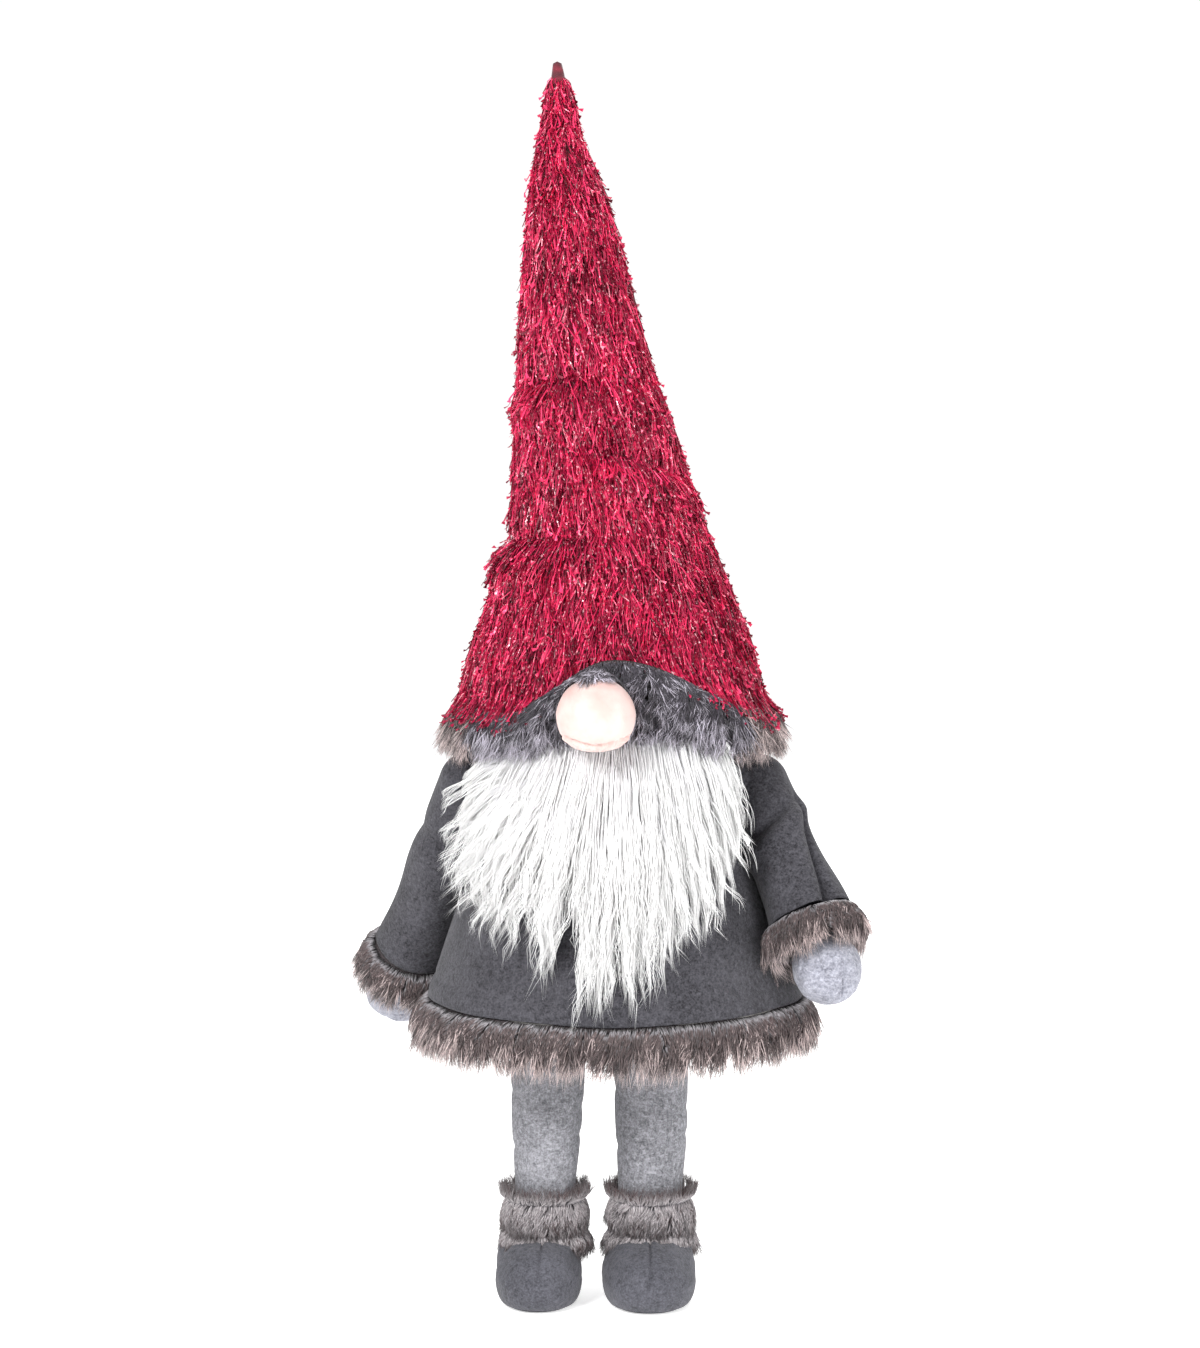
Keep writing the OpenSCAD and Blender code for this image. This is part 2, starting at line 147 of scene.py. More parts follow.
def bump_at(x, centre, width):
    return math.exp(-(((x - centre) / width) ** 2))


def rough(point, scale, seed=0.0):
    """Smooth noise from -1 to 1 at a point."""
    return noise.noise(point * scale + Vector((seed, seed * 0.7, -seed)))


def around(angle):
    """The direction at an angle from the front, positive towards the figure's left."""
    return Vector((math.sin(angle), -math.cos(angle), 0))


def brim_rise(angle):
    turn = (angle + math.pi) % TURN - math.pi
    share = min(1, abs(turn) / (BRIM_ARCH[1] if turn > 0 else BRIM_ARCH[0]))
    return BRIM_RISE * (1 + math.cos(math.pi * share)) / 2


# ---------- shader maths ----------

class Value:
    """A node's number output, which takes part in Python sums."""

    def __init__(self, tree, socket):
        self.tree = tree
        self.socket = socket

    def maths(self, operation, first, second):
        node = self.tree.nodes.new("ShaderNodeMath")
        node.operation = operation
        for entry, term in zip(node.inputs, (first, second)):
            if isinstance(term, Value):
                self.tree.links.new(term.socket, entry)
            else:
                entry.default_value = term
        return Value(self.tree, node.outputs[0])

    def __add__(self, other):
        return self.maths("ADD", self, other)

    def __radd__(self, other):
        return self.maths("ADD", other, self)

    def __sub__(self, other):
        return self.maths("SUBTRACT", self, other)

    def __rsub__(self, other):
        return self.maths("SUBTRACT", other, self)

    def __mul__(self, other):
        return self.maths("MULTIPLY", self, other)

    def __rmul__(self, other):
        return self.maths("MULTIPLY", other, self)

    def __pow__(self, other):
        return self.maths("POWER", self, other)


def tone(red, green, blue):
    """A linear colour from one given as it looks on a screen, from 0 to 255."""
    return tuple(((c / 255 + 0.055) / 1.055) ** 2.4 if c > 10 else c / 255 / 12.92
                 for c in (red, green, blue)) + (1,)


class Finish:
    """A material in the making."""

    def __init__(self, name, **fixed):
        self.material = bpy.data.materials.new(name)
        self.material.use_nodes = True
        self.tree = self.material.node_tree
        self.shader = self.tree.nodes["Principled BSDF"]
        for socket, value in fixed.items():
            self.shader.inputs[socket.replace("_", " ")].default_value = value

    def node(self, kind, settings=None, inputs=None, output=0):
        """Adds a node. Its settings are set first, then the values or links of its sockets."""
        made = self.tree.nodes.new(kind)
        for key, value in (settings or {}).items():
            if key == "stops":
                ramp = made.color_ramp
                while len(ramp.elements) < len(value):
                    ramp.elements.new(0.5)
                for element, (place, colour) in zip(ramp.elements, value):
                    element.position = place
                    element.color = colour
            else:
                setattr(made, key, value)
        for key, value in (inputs or {}).items():
            if isinstance(value, Value):
                self.tree.links.new(value.socket, made.inputs[key])
            else:
                made.inputs[key].default_value = value
        return Value(self.tree, made.outputs[output])

    def place(self, stretch=(1, 1, 1), turn=(0, 0, 0)):
        """Object coordinates, stretched and turned."""
        spot = self.node("ShaderNodeTexCoord", output="Object")
        return self.node("ShaderNodeMapping", inputs={"Vector": spot, "Scale": stretch, "Rotation": turn})

    def grain(self, scale, detail=2.0, roughness=0.5, stretch=(1, 1, 1), turn=(0, 0, 0)):
        return self.node("ShaderNodeTexNoise", inputs={
            "Vector": self.place(stretch, turn), "Scale": scale, "Detail": detail, "Roughness": roughness})

    def steps(self, value, *stops):
        """A colour ramp over a value."""
        return self.node("ShaderNodeValToRGB", {"stops": stops}, {"Fac": value})

    def sharpen(self, value, low, high):
        return self.node("ShaderNodeMapRange", {"clamp": True},
                         {"Value": value, "From Min": low, "From Max": high})

    def mix(self, share, first, second, blend="MIX"):
        made = self.tree.nodes.new("ShaderNodeMix")
        made.data_type = "RGBA"
        made.blend_type = blend
        for key, value in ((0, share), (6, first), (7, second)):
            if isinstance(value, Value):
                self.tree.links.new(value.socket, made.inputs[key])
            else:
                made.inputs[key].default_value = value
        return Value(self.tree, made.outputs[2])

    def feed(self, socket, value):
        self.tree.links.new(value.socket, self.shader.inputs[socket])

    def relief(self, height, depth, strength=1.0):
        """Bump from a height, with its depth in metres."""
        self.feed("Normal", self.node("ShaderNodeBump", None, {
            "Height": height, "Distance": depth, "Strength": strength}))


def fleece(name, dark, light, marl=0.0, grain=1.0):
    """Brushed cloth: a fine nap, soft blotches, and for a marled yarn pale and dark flecks."""
    f = Finish(name, Roughness=0.92, Sheen_Weight=0.12, Sheen_Roughness=0.5, Specular_IOR_Level=0.2)
    nap = f.grain(640 * grain, 3, 0.7)
    blotch = f.grain(30, 3, 0.6)
    pebble = f.grain(270 * grain, 2, 0.6)
    share = f.sharpen(nap * 0.5 + blotch * 0.2 + pebble * 0.3, 0.38, 0.62)
    colour = f.mix(share, dark, light)
    if marl:
        fleck = f.sharpen(f.grain(420, 2, 0.6, (1, 1, 0.35), (0.5, 0.3, 0)), 0.56, 0.66)
        colour = f.mix(fleck * marl, colour, tuple(c * 0.45 for c in dark[:3]) + (1,))
        pale = f.sharpen(f.grain(380, 2, 0.6, (0.35, 1, 1), (0.2, 0.6, 0.4)), 0.58, 0.68)
        colour = f.mix(pale * marl, colour, tuple(min(1, c * 1.7) for c in light[:3]) + (1,))
    f.feed("Base Color", colour)
    f.relief(nap * 0.4 + pebble * 0.6, 0.0022, 0.8)
    return f.material


def pile(name, root, body, tip, seed=0.0, worn=0.0):
    """Strands that change colour from root to tip, with lighter and darker patches."""
    f = Finish(name, Roughness=0.55, Specular_IOR_Level=0.35, Sheen_Weight=0.15)
    along = f.node("ShaderNodeSeparateXYZ", None,
                   {"Vector": f.node("ShaderNodeUVMap", {"uv_map": "strand"})}, "X")
    each = f.node("ShaderNodeNewGeometry", output="Random Per Island")
    patch = f.grain(38 + seed, 2, 0.6)
    shift = (patch - 0.5) * 0.8 + (each - 0.5) * 0.5
    colour = f.steps(along + shift * 0.5 + worn, (0.12, root), (0.36, root), (0.52, body), (0.76, body),
                     (0.96, tip))
    shade = f.sharpen(patch * 0.5 + each * 0.5, 0.25, 0.75)
    f.feed("Base Color",
           f.mix(1.0, colour, f.mix(shade, (0.48, 0.46, 0.46, 1), (1.65, 1.62, 1.62, 1)), "MULTIPLY"))
    return f.material


def hair_finish(name, root, tip):
    f = Finish(name, Roughness=0.5, Specular_IOR_Level=0.4, Sheen_Weight=0.2)
    each = f.node("ShaderNodeNewGeometry", output="Random Per Island")
    along = f.node("ShaderNodeSeparateXYZ", None,
                   {"Vector": f.node("ShaderNodeUVMap", {"uv_map": "strand"})}, "X")
    colour = f.mix(f.sharpen(along + each * 0.3, 0.0, 0.5), root, tip)
    f.feed("Base Color", f.mix(each * 0.25, colour, tone(212, 208, 212)))
    return f.material


def tinsel(name, deep, bright, glint):
    """Metallic ribbon yarn: each ribbon has its own red, and pale pink glints are painted into the colour of a few
    specks.
    """
    f = Finish(name, Roughness=0.36, Specular_IOR_Level=0.6, Metallic=0.35)
    each = f.node("ShaderNodeNewGeometry", output="Random Per Island")
    patch = f.grain(60, 3, 0.6)
    wide = f.grain(16, 2, 0.6)
    colour = f.mix(f.sharpen(each * 0.55 + patch * 0.3 + wide * 0.25, 0.30, 0.80), deep, bright)
    # painted highlight: pale pink glint specks mixed into the base colour, in place of light caught by the ribbons
    painted_glint = f.sharpen(f.grain(420, 1, 0.5), 0.62, 0.70)
    f.feed("Base Color", f.mix(painted_glint * 0.6, colour, glint))
    f.feed("Roughness", 0.25 + 0.3 * each)
    return f.material


def knit(name, colour, shade):
    f = Finish(name, Roughness=0.8, Sheen_Weight=0.3)
    rows = f.node("ShaderNodeTexWave", {"bands_direction": "Z"}, {
        "Vector": f.place(), "Scale": 32, "Distortion": 1.5, "Detail": 2, "Detail Scale": 4}, "Fac")
    # painted shade: the darker tone fills the rows' grooves, where the relief sinks; the fine noise adds random
    # tone
    f.feed("Base Color", f.mix(rows * 0.7 + f.grain(160) * 0.3, shade, colour))
    f.relief(rows, 0.0015, 0.8)
    return f.material


def stocking(name, pale, blush):
    f = Finish(name, Roughness=0.62, Subsurface_Weight=0.15, Sheen_Weight=0.3)
    f.shader.inputs["Subsurface Radius"].default_value = (0.01, 0.005, 0.004)
    stitch = f.grain(700, 1, 0.5, (1, 1, 0.5))
    flush = f.sharpen(f.grain(44, 3), 0.40, 0.62)
    f.feed("Base Color", f.mix(flush * 0.55, pale, blush))
    f.relief(stitch, 0.0006, 0.4)
    return f.material


def timber(name, light, dark):
    f = Finish(name, Roughness=0.6)
    rings = f.node("ShaderNodeTexWave", {"wave_type": "RINGS"}, {
        "Vector": f.place((1, 1, 0.08)), "Scale": 60, "Distortion": 3, "Detail": 3}, "Fac")
    f.feed("Base Color", f.mix(rings * 0.7 + f.grain(90, 3) * 0.3, light, dark))
    f.relief(rings, 0.0003, 0.4)
    return f.material


def loose(name, dark, light, scale, metallic=0.0, roughness=0.8):
    """Filling, sand, backing or wire: two tones in grains of one size."""
    f = Finish(name, Roughness=roughness, Metallic=metallic)
    grain = f.grain(scale, 3, 0.65)
    f.feed("Base Color", f.mix(f.sharpen(grain, 0.35, 0.65), dark, light))
    f.relief(grain, 0.4 / scale, 0.6)
    return f.material


# ---------- making pieces ----------

def finish_piece(obj, material, body, stands_for=()):
    obj.data.materials.clear()
    obj.data.materials.append(material)
    if body:
        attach(obj, body)
    if stands_for:
        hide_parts(*stands_for)
    return obj


def from_bmesh(name, bm, smooth=True):
    mesh = bpy.data.meshes.new(name)
    bm.to_mesh(mesh)
    bm.free()
    for face in mesh.polygons:
        face.use_smooth = smooth
    obj = bpy.data.objects.new(name, mesh)
    bpy.context.scene.collection.objects.link(obj)
    return obj


def skin(place, columns, rows):
    """A skin whose point at (u, v) is place(u, v), with its seam and poles closed and its own UV map."""
    bm = bmesh.new()
    bmesh.ops.create_grid(bm, x_segments=columns, y_segments=rows, size=0.5)
    layer = bm.loops.layers.uv.new("cloth")
    for face in bm.faces:
        for loop in face.loops:
            loop[layer].uv = loop.vert.co.xy + Vector((0.5, 0.5))
    for vert in bm.verts:
        vert.co = place(vert.co.x + 0.5, vert.co.y + 0.5)
    bmesh.ops.remove_doubles(bm, verts=bm.verts, dist=1e-6)
    bmesh.ops.recalc_face_normals(bm, faces=bm.faces)
    return bm


def strand_piece(name, paths, sides=3):
    """Many thin strands as one mesh: each path is its points, its radii and its twist."""
    outline = bpy.data.curves.new("outline", "CURVE")
    ring = outline.splines.new("POLY")
    ring.points.add(sides - 1)
    for k, point in enumerate(ring.points):
        point.co = (math.cos(TURN * k / sides), math.sin(TURN * k / sides), 0, 1)
    ring.use_cyclic_u = sides > 2
    section = bpy.data.objects.new("outline", outline)
    curve = bpy.data.curves.new(name, "CURVE")
    curve.dimensions = "3D"
    curve.bevel_mode = "OBJECT"
    curve.bevel_object = section
    for points, radii, twist in paths:
        spline = curve.splines.new("POLY")
        spline.points.add(len(points) - 1)
        spline.points.foreach_set("co", [c for p in points for c in (p[0], p[1], p[2], 1)])
        spline.points.foreach_set("radius", radii)
        spline.points.foreach_set("tilt", [twist] * len(points))
        spline.use_smooth = True
    holder = bpy.data.objects.new(name, curve)
    bpy.context.scene.collection.objects.link(holder)
    bpy.context.scene.collection.objects.link(section)
    mesh = bpy.data.meshes.new_from_object(holder.evaluated_get(bpy.context.evaluated_depsgraph_get()))
    bpy.data.objects.remove(holder)
    bpy.data.objects.remove(section)
    bm = bmesh.new()
    bm.from_mesh(mesh)
    bpy.data.meshes.remove(mesh)
    bmesh.ops.remove_doubles(bm, verts=bm.verts, dist=1e-6)
    obj = from_bmesh(name, bm)
    obj.data.uv_layers[0].name = "strand"
    return obj


def keep_out(point, centre, radius):
    """The point, pushed out of a ball."""
    off = point - centre
    if off.length < radius:
        return centre + off.normalized() * radius
    return point


def fur(seed, count, surface, length, out, fall, width=0.00056, tuft=0.010, curl=0.32, shift=0.30, ball=None):
    """Paths of fur on a surface.

    surface(u, v) gives a root, the outward and the falling direction, and the share of the length there.
    out and fall are the strands' lean along those two directions. Strands of one tuft lean together.
    A ball, given by its centre and radius, is kept clear. Its third value is the share of the radius
    within which strands are left out.
    """
    draw = random.Random(seed)
    noise.seed_set(TUFT_SEED)  # noise_vector would otherwise be seeded by the clock
    paths = []
    for _ in range(count):
        u, v = draw.random(), draw.random()
        root, outward, falling, share = surface(u, v)
        aside = outward.cross(falling)
        bent = root + noise.noise_vector(root * 90) * 0.5 * tuft
        cell = Vector((math.floor(bent.x / tuft), math.floor(bent.y / tuft),
                       math.floor(bent.z / (tuft * 1.4))))
        lean = Vector((noise.cell(cell * 1.37 + Vector((0.5, 0.5, 0.5))) - 0.5,
                       noise.cell(cell * 2.11 + Vector((9.5, 0.5, 3.5))) - 0.5,
                       noise.cell(cell * 1.73 + Vector((2.5, 7.5, 0.5))) - 0.5))
        heart = Vector(((cell.x + 0.5) * tuft, (cell.y + 0.5) * tuft, (cell.z + 0.5) * tuft * 1.4)) - root
        reach = length * share * draw.uniform(0.72, 1.12)
        wild = curl * (2.5 if draw.random() < 0.06 else 1)
        way = (outward * (out + 0.35 * lean.x) + falling * fall
               + aside * (0.4 * lean.y + draw.uniform(-wild, wild)))
        tip = root + way.normalized() * reach + heart * shift
        tip += falling * reach * 0.12 + outward * draw.uniform(-wild, wild) * reach * 0.4
        middle = root + (outward * (out + 0.45) + falling * fall * 0.8
                         + aside * lean.y * 0.5).normalized() * reach * 0.5
        middle += heart * shift * 0.3
        near = root.lerp(middle, 0.45) + outward * reach * 0.05
        points = [root - outward * 0.0015, near, middle, tip]
        if ball:
            if (root - ball[0]).xz.length < ball[1] * ball[2] and root.z < ball[0].z + ball[1] * 0.8:
                continue
            points = [keep_out(p, ball[0], ball[1] + 0.0008) for p in points]
        size = width * draw.uniform(0.7, 1.25)
        paths.append((points, (0, size, size * 0.75, 0), draw.uniform(0, math.pi)))
    return paths


def fur_pieces(name, paths, material, body, limit, stands_for=()):
    """Fur as pieces of at most so many strands each."""
    made = []
    for k in range(0, len(paths), limit):
        piece = strand_piece(f"{name}_{k // limit + 1}", paths[k:k + limit])
        made.append(finish_piece(piece, material, body, stands_for if k == 0 else ()))
    return made


# ---------- the coat and its hem ----------

def coat_point(angle, z, inward=0.0):
    drop = fade(SHOULDER_Z - z, -0.02, SHOULDER_Z - HEM_Z)
    fold = 0.0016 * math.sin(5 * angle + 0.7) + 0.0012 * math.sin(9 * angle + 2.1)
    fold += 0.0030 * rough(Vector((math.cos(angle) * 1.3, math.sin(angle) * 1.3, z * 7)), 1.0, 3.0)
    fold += 0.0012
    for seam in (math.pi, 1.45, -1.45):
        fold -= 0.0022 * bump_at((angle - seam + math.pi) % TURN - math.pi, 0, 0.016)
    radius = between(z, COAT_LINE) + max(fold * (0.25 + drop), -0.0008) - inward
    return BODY_AXIS + around(angle) * radius + UP * z


def make_coat(props):
    turned_in = 0.016
    thickness = 0.0022

    def place(u, v):
        angle = TURN * u
        if v < 0.88:
            z = SHOULDER_Z + 0.010 + (HEM_Z - SHOULDER_Z - 0.010) * v / 0.88
            swell = 0.0012 * bump_at(z, HEM_Z + 0.008, 0.005) - 0.0010 * bump_at(z, HEM_Z + 0.0165, 0.0016)
            return coat_point(angle, z, -swell * props.seam)
        if v < 0.92:
            bend = (v - 0.88) / 0.04 * math.pi
            point = coat_point(angle, HEM_Z, thickness / 2 * (1 - math.cos(bend)))
            return point - UP * 0.0012 * math.sin(bend)
        return coat_point(angle, HEM_Z + turned_in * (v - 0.92) / 0.08, thickness)

    coat = from_bmesh("coat_cloth", skin(place, 420, 120))
    finish_piece(coat, FINISH["coat"], "torso", ["coat"])
    girth = TURN * HEM_R
    slant = math.hypot(SHOULDER_Z - HEM_Z, HEM_R - COAT_LINE[0][1])
    return coat, girth, slant


def hem_surface(u, v):
    angle = TURN * u
    z = HEM_Z - 0.001 - v * 0.020
    root = (coat_point(angle, HEM_Z, 0.0012) + UP * (z - HEM_Z)
            + around(angle) * 0.0035 * math.sin(math.pi * v))
    return root, around(angle), -UP, 0.9 + 0.25 * v


def band(name, surface, inward, material, body, stands_for):
    """The woven backing that a fur grows from: a closed skin just inside the roots."""
    def place(u, v):
        side = math.sin(TURN * v)
        root, outward, _, _ = surface(u, 0.5 - 0.5 * math.cos(TURN * v))
        return root - outward * (inward + 0.0012 * (1 - side))

    return finish_piece(from_bmesh(name, skin(place, 160, 14)), material, body, stands_for)


# ---------- the brim ----------

def brim_surface(u, v):
    angle = TURN * u
    front = bump_at((angle + math.pi) % TURN - math.pi, 0.1, 0.75)
    z = HAT_Z + 0.011 + brim_rise(angle) - v * (0.026 + 0.66 * brim_rise(angle))
    radius = HAT_R + 0.0015 + 0.004 * math.sin(math.pi * v) - 0.08 * max(0, z - 0.505)
    root = BODY_AXIS + UP * z + around(angle) * radius
    falling = (-UP + around(angle).cross(UP) * 0.9 * rough(root, 55, 4.0) * front).normalized()
    return root, around(angle), falling, (1.0 - 0.38 * front) * (0.6 + 0.4 * min(1, v * 4))


def arch_surface(u, v):
    """The raised front of the brim, whose wider band takes more fur."""
    return brim_surface((0.22 * (u - 0.5)) % 1.0, 0.6 * v)


def brow_surface(u, v):
    """The fur that lies over the crown of the nose and falls over its front."""
    turn = math.radians(72) * (2 * u - 1)
    crown = math.radians(-64 + 80 * v)
    outward = around(turn) * math.sin(crown) + UP * math.cos(crown)
    falling = around(turn) * math.cos(crown) - UP * math.sin(crown)
    return NOSE + outward * (NOSE_R + 0.0006), outward, falling, 0.7 + 0.5 * rough(outward, 6.0, 2.0)


# ---------- arms ----------

class Arm:
    """An arm's places: its shoulder, the way it hangs and its sleeve."""

    def __init__(self, side):
        self.side = side
        self.sign = -1 if side == "right" else 1
        self.shoulder = JOINT[f"{side}_arm_lift"]
        hand = middle_of(f"{side}_mitten")
        self.way = (hand - self.shoulder).normalized()
        self.hand = self.shoulder + self.way * ((hand - self.shoulder).length + 0.004)
        fur_middle = middle_of(f"{side}_sleeve_fur")
        self.length = (fur_middle - self.shoulder).dot(self.way) - 0.017
        outward = Vector((self.sign, 0, 0))
        self.outer = (outward - self.way * outward.dot(self.way)).normalized()
        self.front = self.way.cross(self.outer) * self.sign

    def ring(self, angle):
        """The direction at an angle round the arm, from its outer side."""
        return self.outer * math.cos(angle) + self.front * math.sin(angle)

    def sleeve_point(self, angle, t, inward=0.0):
        """A point on the sleeve at t of its length, which starts over the shoulder."""
        along = -0.024 + (self.length + 0.024) * t
        reach = max(along, 0) / self.length
        radius = 0.0250 + 0.0085 * reach ** 1.1
        if along < 0:
            radius = math.sqrt(max(0.0250 ** 2 - along ** 2, 0))
        point = self.ring(angle) * (radius - inward)
        loose_cloth = 0.0045 * fade(reach, 0.05, 0.5)
        wrinkle = rough(point * 1.0 + self.way * along * 0.6, 26, 7.0 * self.sign) * loose_cloth
        if self.sign > 0:
            crease = along - 0.030 - 0.016 * math.cos(angle - 2.6)
            wrinkle -= 0.0062 * bump_at(crease, 0, 0.006) * fade(math.cos(angle - 2.6), -0.6, 0.4)
            wrinkle += 0.0036 * bump_at(crease, 0.014, 0.010)
            long_fold = (angle + math.pi) % TURN - math.pi
            wrinkle -= 0.0080 * bump_at(long_fold, 0.30 + 0.75 * reach, 0.13) * fade(reach, 0.1, 0.35)
            wrinkle += 0.0030 * bump_at(long_fold, 0.75 + 0.75 * reach, 0.26) * fade(reach, 0.1, 0.35)
        else:
            wrinkle -= 0.0020 * bump_at(along, 0.045 + 0.01 * math.cos(angle), 0.010) * fade(reach, 0, 0.2)
        return self.shoulder + self.way * along + self.ring(angle) * (radius - inward + wrinkle)

    def make_sleeve(self):
        def place(u, v):
            angle = TURN * u
            if v < 0.9:
                return self.sleeve_point(angle, v / 0.9)
            return self.sleeve_point(angle, 1 - (v - 0.9) * 0.8, 0.0022)

        sleeve = from_bmesh(f"{self.side}_sleeve_cloth", skin(place, 120, 110))
        return finish_piece(sleeve, FINISH["coat"], f"{self.side}_arm",
                            [f"{self.side}_sleeve", f"{self.side}_arm_stuffing"])

    def make_shoulder(self):
        """The gathered cloth between the coat and the sleeve, turned round the swing's axis."""
        inner = abs(self.shoulder.x) - 0.074

        def place(u, v):
            angle = TURN * u
            x = inner * (1 - v)
            radius = 0.0230 + 0.006 * (1 - v) ** 2 + 0.0007 * math.sin(14 * angle) * fade(1 - v, 0.2, 0.9)
            if v > 0.7:
                radius *= math.sqrt(max(1 - ((v - 0.7) / 0.3) ** 2, 0))
            return self.shoulder + Vector((-self.sign * (x - 0.008 * v), math.cos(angle) * radius,
                                           math.sin(angle) * radius))

        head = from_bmesh(f"{self.side}_shoulder_cloth", skin(place, 72, 30))
        return finish_piece(head, FINISH["coat"], f"{self.side}_shoulder",
                            [f"{self.side}_sleeve_head"])

    def cuff_surface(self, u, v):
        angle = TURN * u
        along = self.length + 0.0005 + v * 0.020
        radius = 0.0330 + 0.0025 * math.sin(math.pi * v)
        outward = self.ring(angle)
        root = self.shoulder + self.way * along + outward * radius
        falling = (self.way * 0.75 - UP * 0.35).normalized()
        return root, outward, falling, 0.9 + 0.15 * v

    def make_mitten(self):
        """A felt ball drawn in by a crossed pair of short seams at its end."""
        def place(u, v):
            angle, polar = TURN * u, math.pi * v
            direction = (self.ring(angle) * math.sin(polar) - self.way * math.cos(polar))
            radius = 0.0272 + 0.004 * max(0, -math.cos(polar))
            radius += 0.0012 * rough(direction, 2.2, 5.0 * self.sign)
            for turn, tilt in ((1.9, 1.20), (1.2, 0.50)):
                spot = (self.ring(turn) * math.sin(tilt) + self.way * math.cos(tilt)).normalized()
                near = direction.angle(spot, 0)
                aside = direction.dot(spot.cross(self.way).normalized())
                cross = direction.dot(spot.cross(spot.cross(self.way)).normalized())
                slit = max(bump_at(aside, 0, 0.035), bump_at(cross, 0, 0.035)) * bump_at(near, 0, 0.30)
                radius -= 0.0034 * slit + 0.0026 * bump_at(near, 0, 0.34)
            crease = direction.dot((self.way - self.ring(0.4) * 0.35).normalized())
            radius -= 0.0026 * bump_at(crease, 0.52, 0.07) * fade(direction.dot(self.front), -0.3, 0.3)
            return self.hand + direction * radius

        mitten = from_bmesh(f"{self.side}_mitten_felt", skin(place, 120, 90))
        return finish_piece(mitten, FINISH["mitten"], f"{self.side}_arm",
                            [f"{self.side}_mitten"])


# ---------- legs and boots ----------

class Foot:
    """A leg with its boot: the leg bows a little outwards, and the boot is an egg with a flat bottom."""

    def __init__(self, side):
        self.side = side
        self.sign = -1 if side == "right" else 1
        self.leg = LEG[side] + Vector((0.003 if side == "right" else 0, 0, 0))
        self.boot = BOOT[side]
        self.ankle = Vector((self.leg.x * 0.7 + self.boot.x * 0.3, self.leg.y - 0.004, 0))

    def leg_point(self, angle, z):
        bow = self.leg.lerp(self.ankle, fade(0.20 - z, 0, 0.15))
        radius = (LEG_R - (0.0065 - 0.001 * self.sign) * fade(0.20 - z, -0.02, 0.15)
                  + 0.0006 * math.sin(z * 55))
        radius += 0.0010 * rough(around(angle) * 0.7 + UP * z * 16, 1.4, 11.0 * self.sign) - 0.0004
        radius -= 0.0012 * bump_at(z, 0.128 + 0.006 * math.cos(angle - 1), 0.004)
        radius -= 0.0010 * bump_at(z, 0.163 + 0.008 * math.cos(angle + 2), 0.005)
        return Vector((bow.x, bow.y, z)) + around(angle) * radius

    def make_leg(self):
        top, bottom = 0.2265, 0.046

        def place(u, v):
            angle = TURN * u
            if v < 0.03 or v > 0.97:
                closing = v / 0.03 if v < 0.03 else (1 - v) / 0.03
                z = top if v < 0.03 else bottom
                edge = self.leg_point(angle, z)
                heart = self.leg_point(0, z).lerp(self.leg_point(math.pi, z), 0.5)
                return heart.lerp(edge, closing)
            return self.leg_point(angle, top + (bottom - top) * (v - 0.03) / 0.94)

        leg = from_bmesh(f"{self.side}_leg_cloth", skin(place, 100, 130))
        return finish_piece(leg, FINISH["leg"], "torso",
                            [f"{self.side}_leg", f"{self.side}_leg_stuffing"])

    def sole_reach(self, angle):
        """How far the boot's edge is from its middle at an angle from the toe."""
        way = around(angle)
        half_width = BOOT_W / 2 - 0.0002 + 0.0014 * self.sign - 0.0020 * (1 - math.cos(angle))
        half_length = BOOT_L / 2
        power = 2.2
        return (abs(way.x / half_width) ** power + abs(way.y / half_length) ** power) ** (-1 / power)

    def boot_point(self, angle, v):
        edge = self.sole_reach(angle)
        base = Vector((self.boot.x, self.boot.y, 0))
        toe = bump_at((angle + math.pi) % TURN - math.pi, 0, 0.024)
        wide_z, top_z = 0.020, 0.051
        if v < 0.16:
            return base + around(angle) * edge * 0.80 * v / 0.16 + UP * 0.0008
        if v < 0.30:
            bend = (v - 0.16) / 0.14 * math.pi / 2
            reach = edge * (0.80 + 0.21 * math.sin(bend))
            return base + around(angle) * reach + UP * (0.0008 + (wide_z - 0.0008) * (1 - math.cos(bend)))
        rise = (v - 0.30) / 0.70 * math.pi / 2
        foot = base + around(angle) * edge * 1.01
        shank = self.ankle + around(angle) * 0.0275
        share = math.cos(rise) ** 0.95
        point = foot * share + shank * (1 - share)
        slim = 1 - 0.22 * math.sin(rise) ** 2 * fade(math.cos(angle), -0.3, 0.6)
        point.x = self.boot.x + (point.x - self.boot.x) * slim
        point.z = wide_z + (top_z - wide_z) * math.sin(rise)
        heart = Vector((point.x * 0.2 + self.boot.x * 0.8, base.y, point.z * 0.5))
        pull = 0.0024 * toe * fade(v, 0.30, 0.40)
        pull -= 0.0010 * bump_at(abs((angle + math.pi) % TURN - math.pi), 0.16, 0.08) * fade(v, 0.30, 0.45)
        pull -= 0.0016 * rough(around(angle) + UP * v * 2.4, 2.4, 2.0 * self.sign)
        side = bump_at(angle, math.pi / 2 if self.sign < 0 else 3 * math.pi / 2, 0.14)
        pull += 0.0020 * side * bump_at(v, 0.62, 0.12)
        return point + (heart - point).normalized() * pull

    def make_boot(self):
        upper = from_bmesh(f"{self.side}_boot_cloth",
                           skin(lambda u, v: self.boot_point(TURN * u, 0.20 + 0.80 * v), 280, 46))
        finish_piece(upper, FINISH["boot"], "torso", [f"{self.side}_boot_upper"])
        bottom = from_bmesh(f"{self.side}_boot_bottom", skin(self.bottom_point, 120, 24))
        finish_piece(bottom, FINISH["boot"], "torso", [f"{self.side}_boot_sole"])
        return upper, bottom

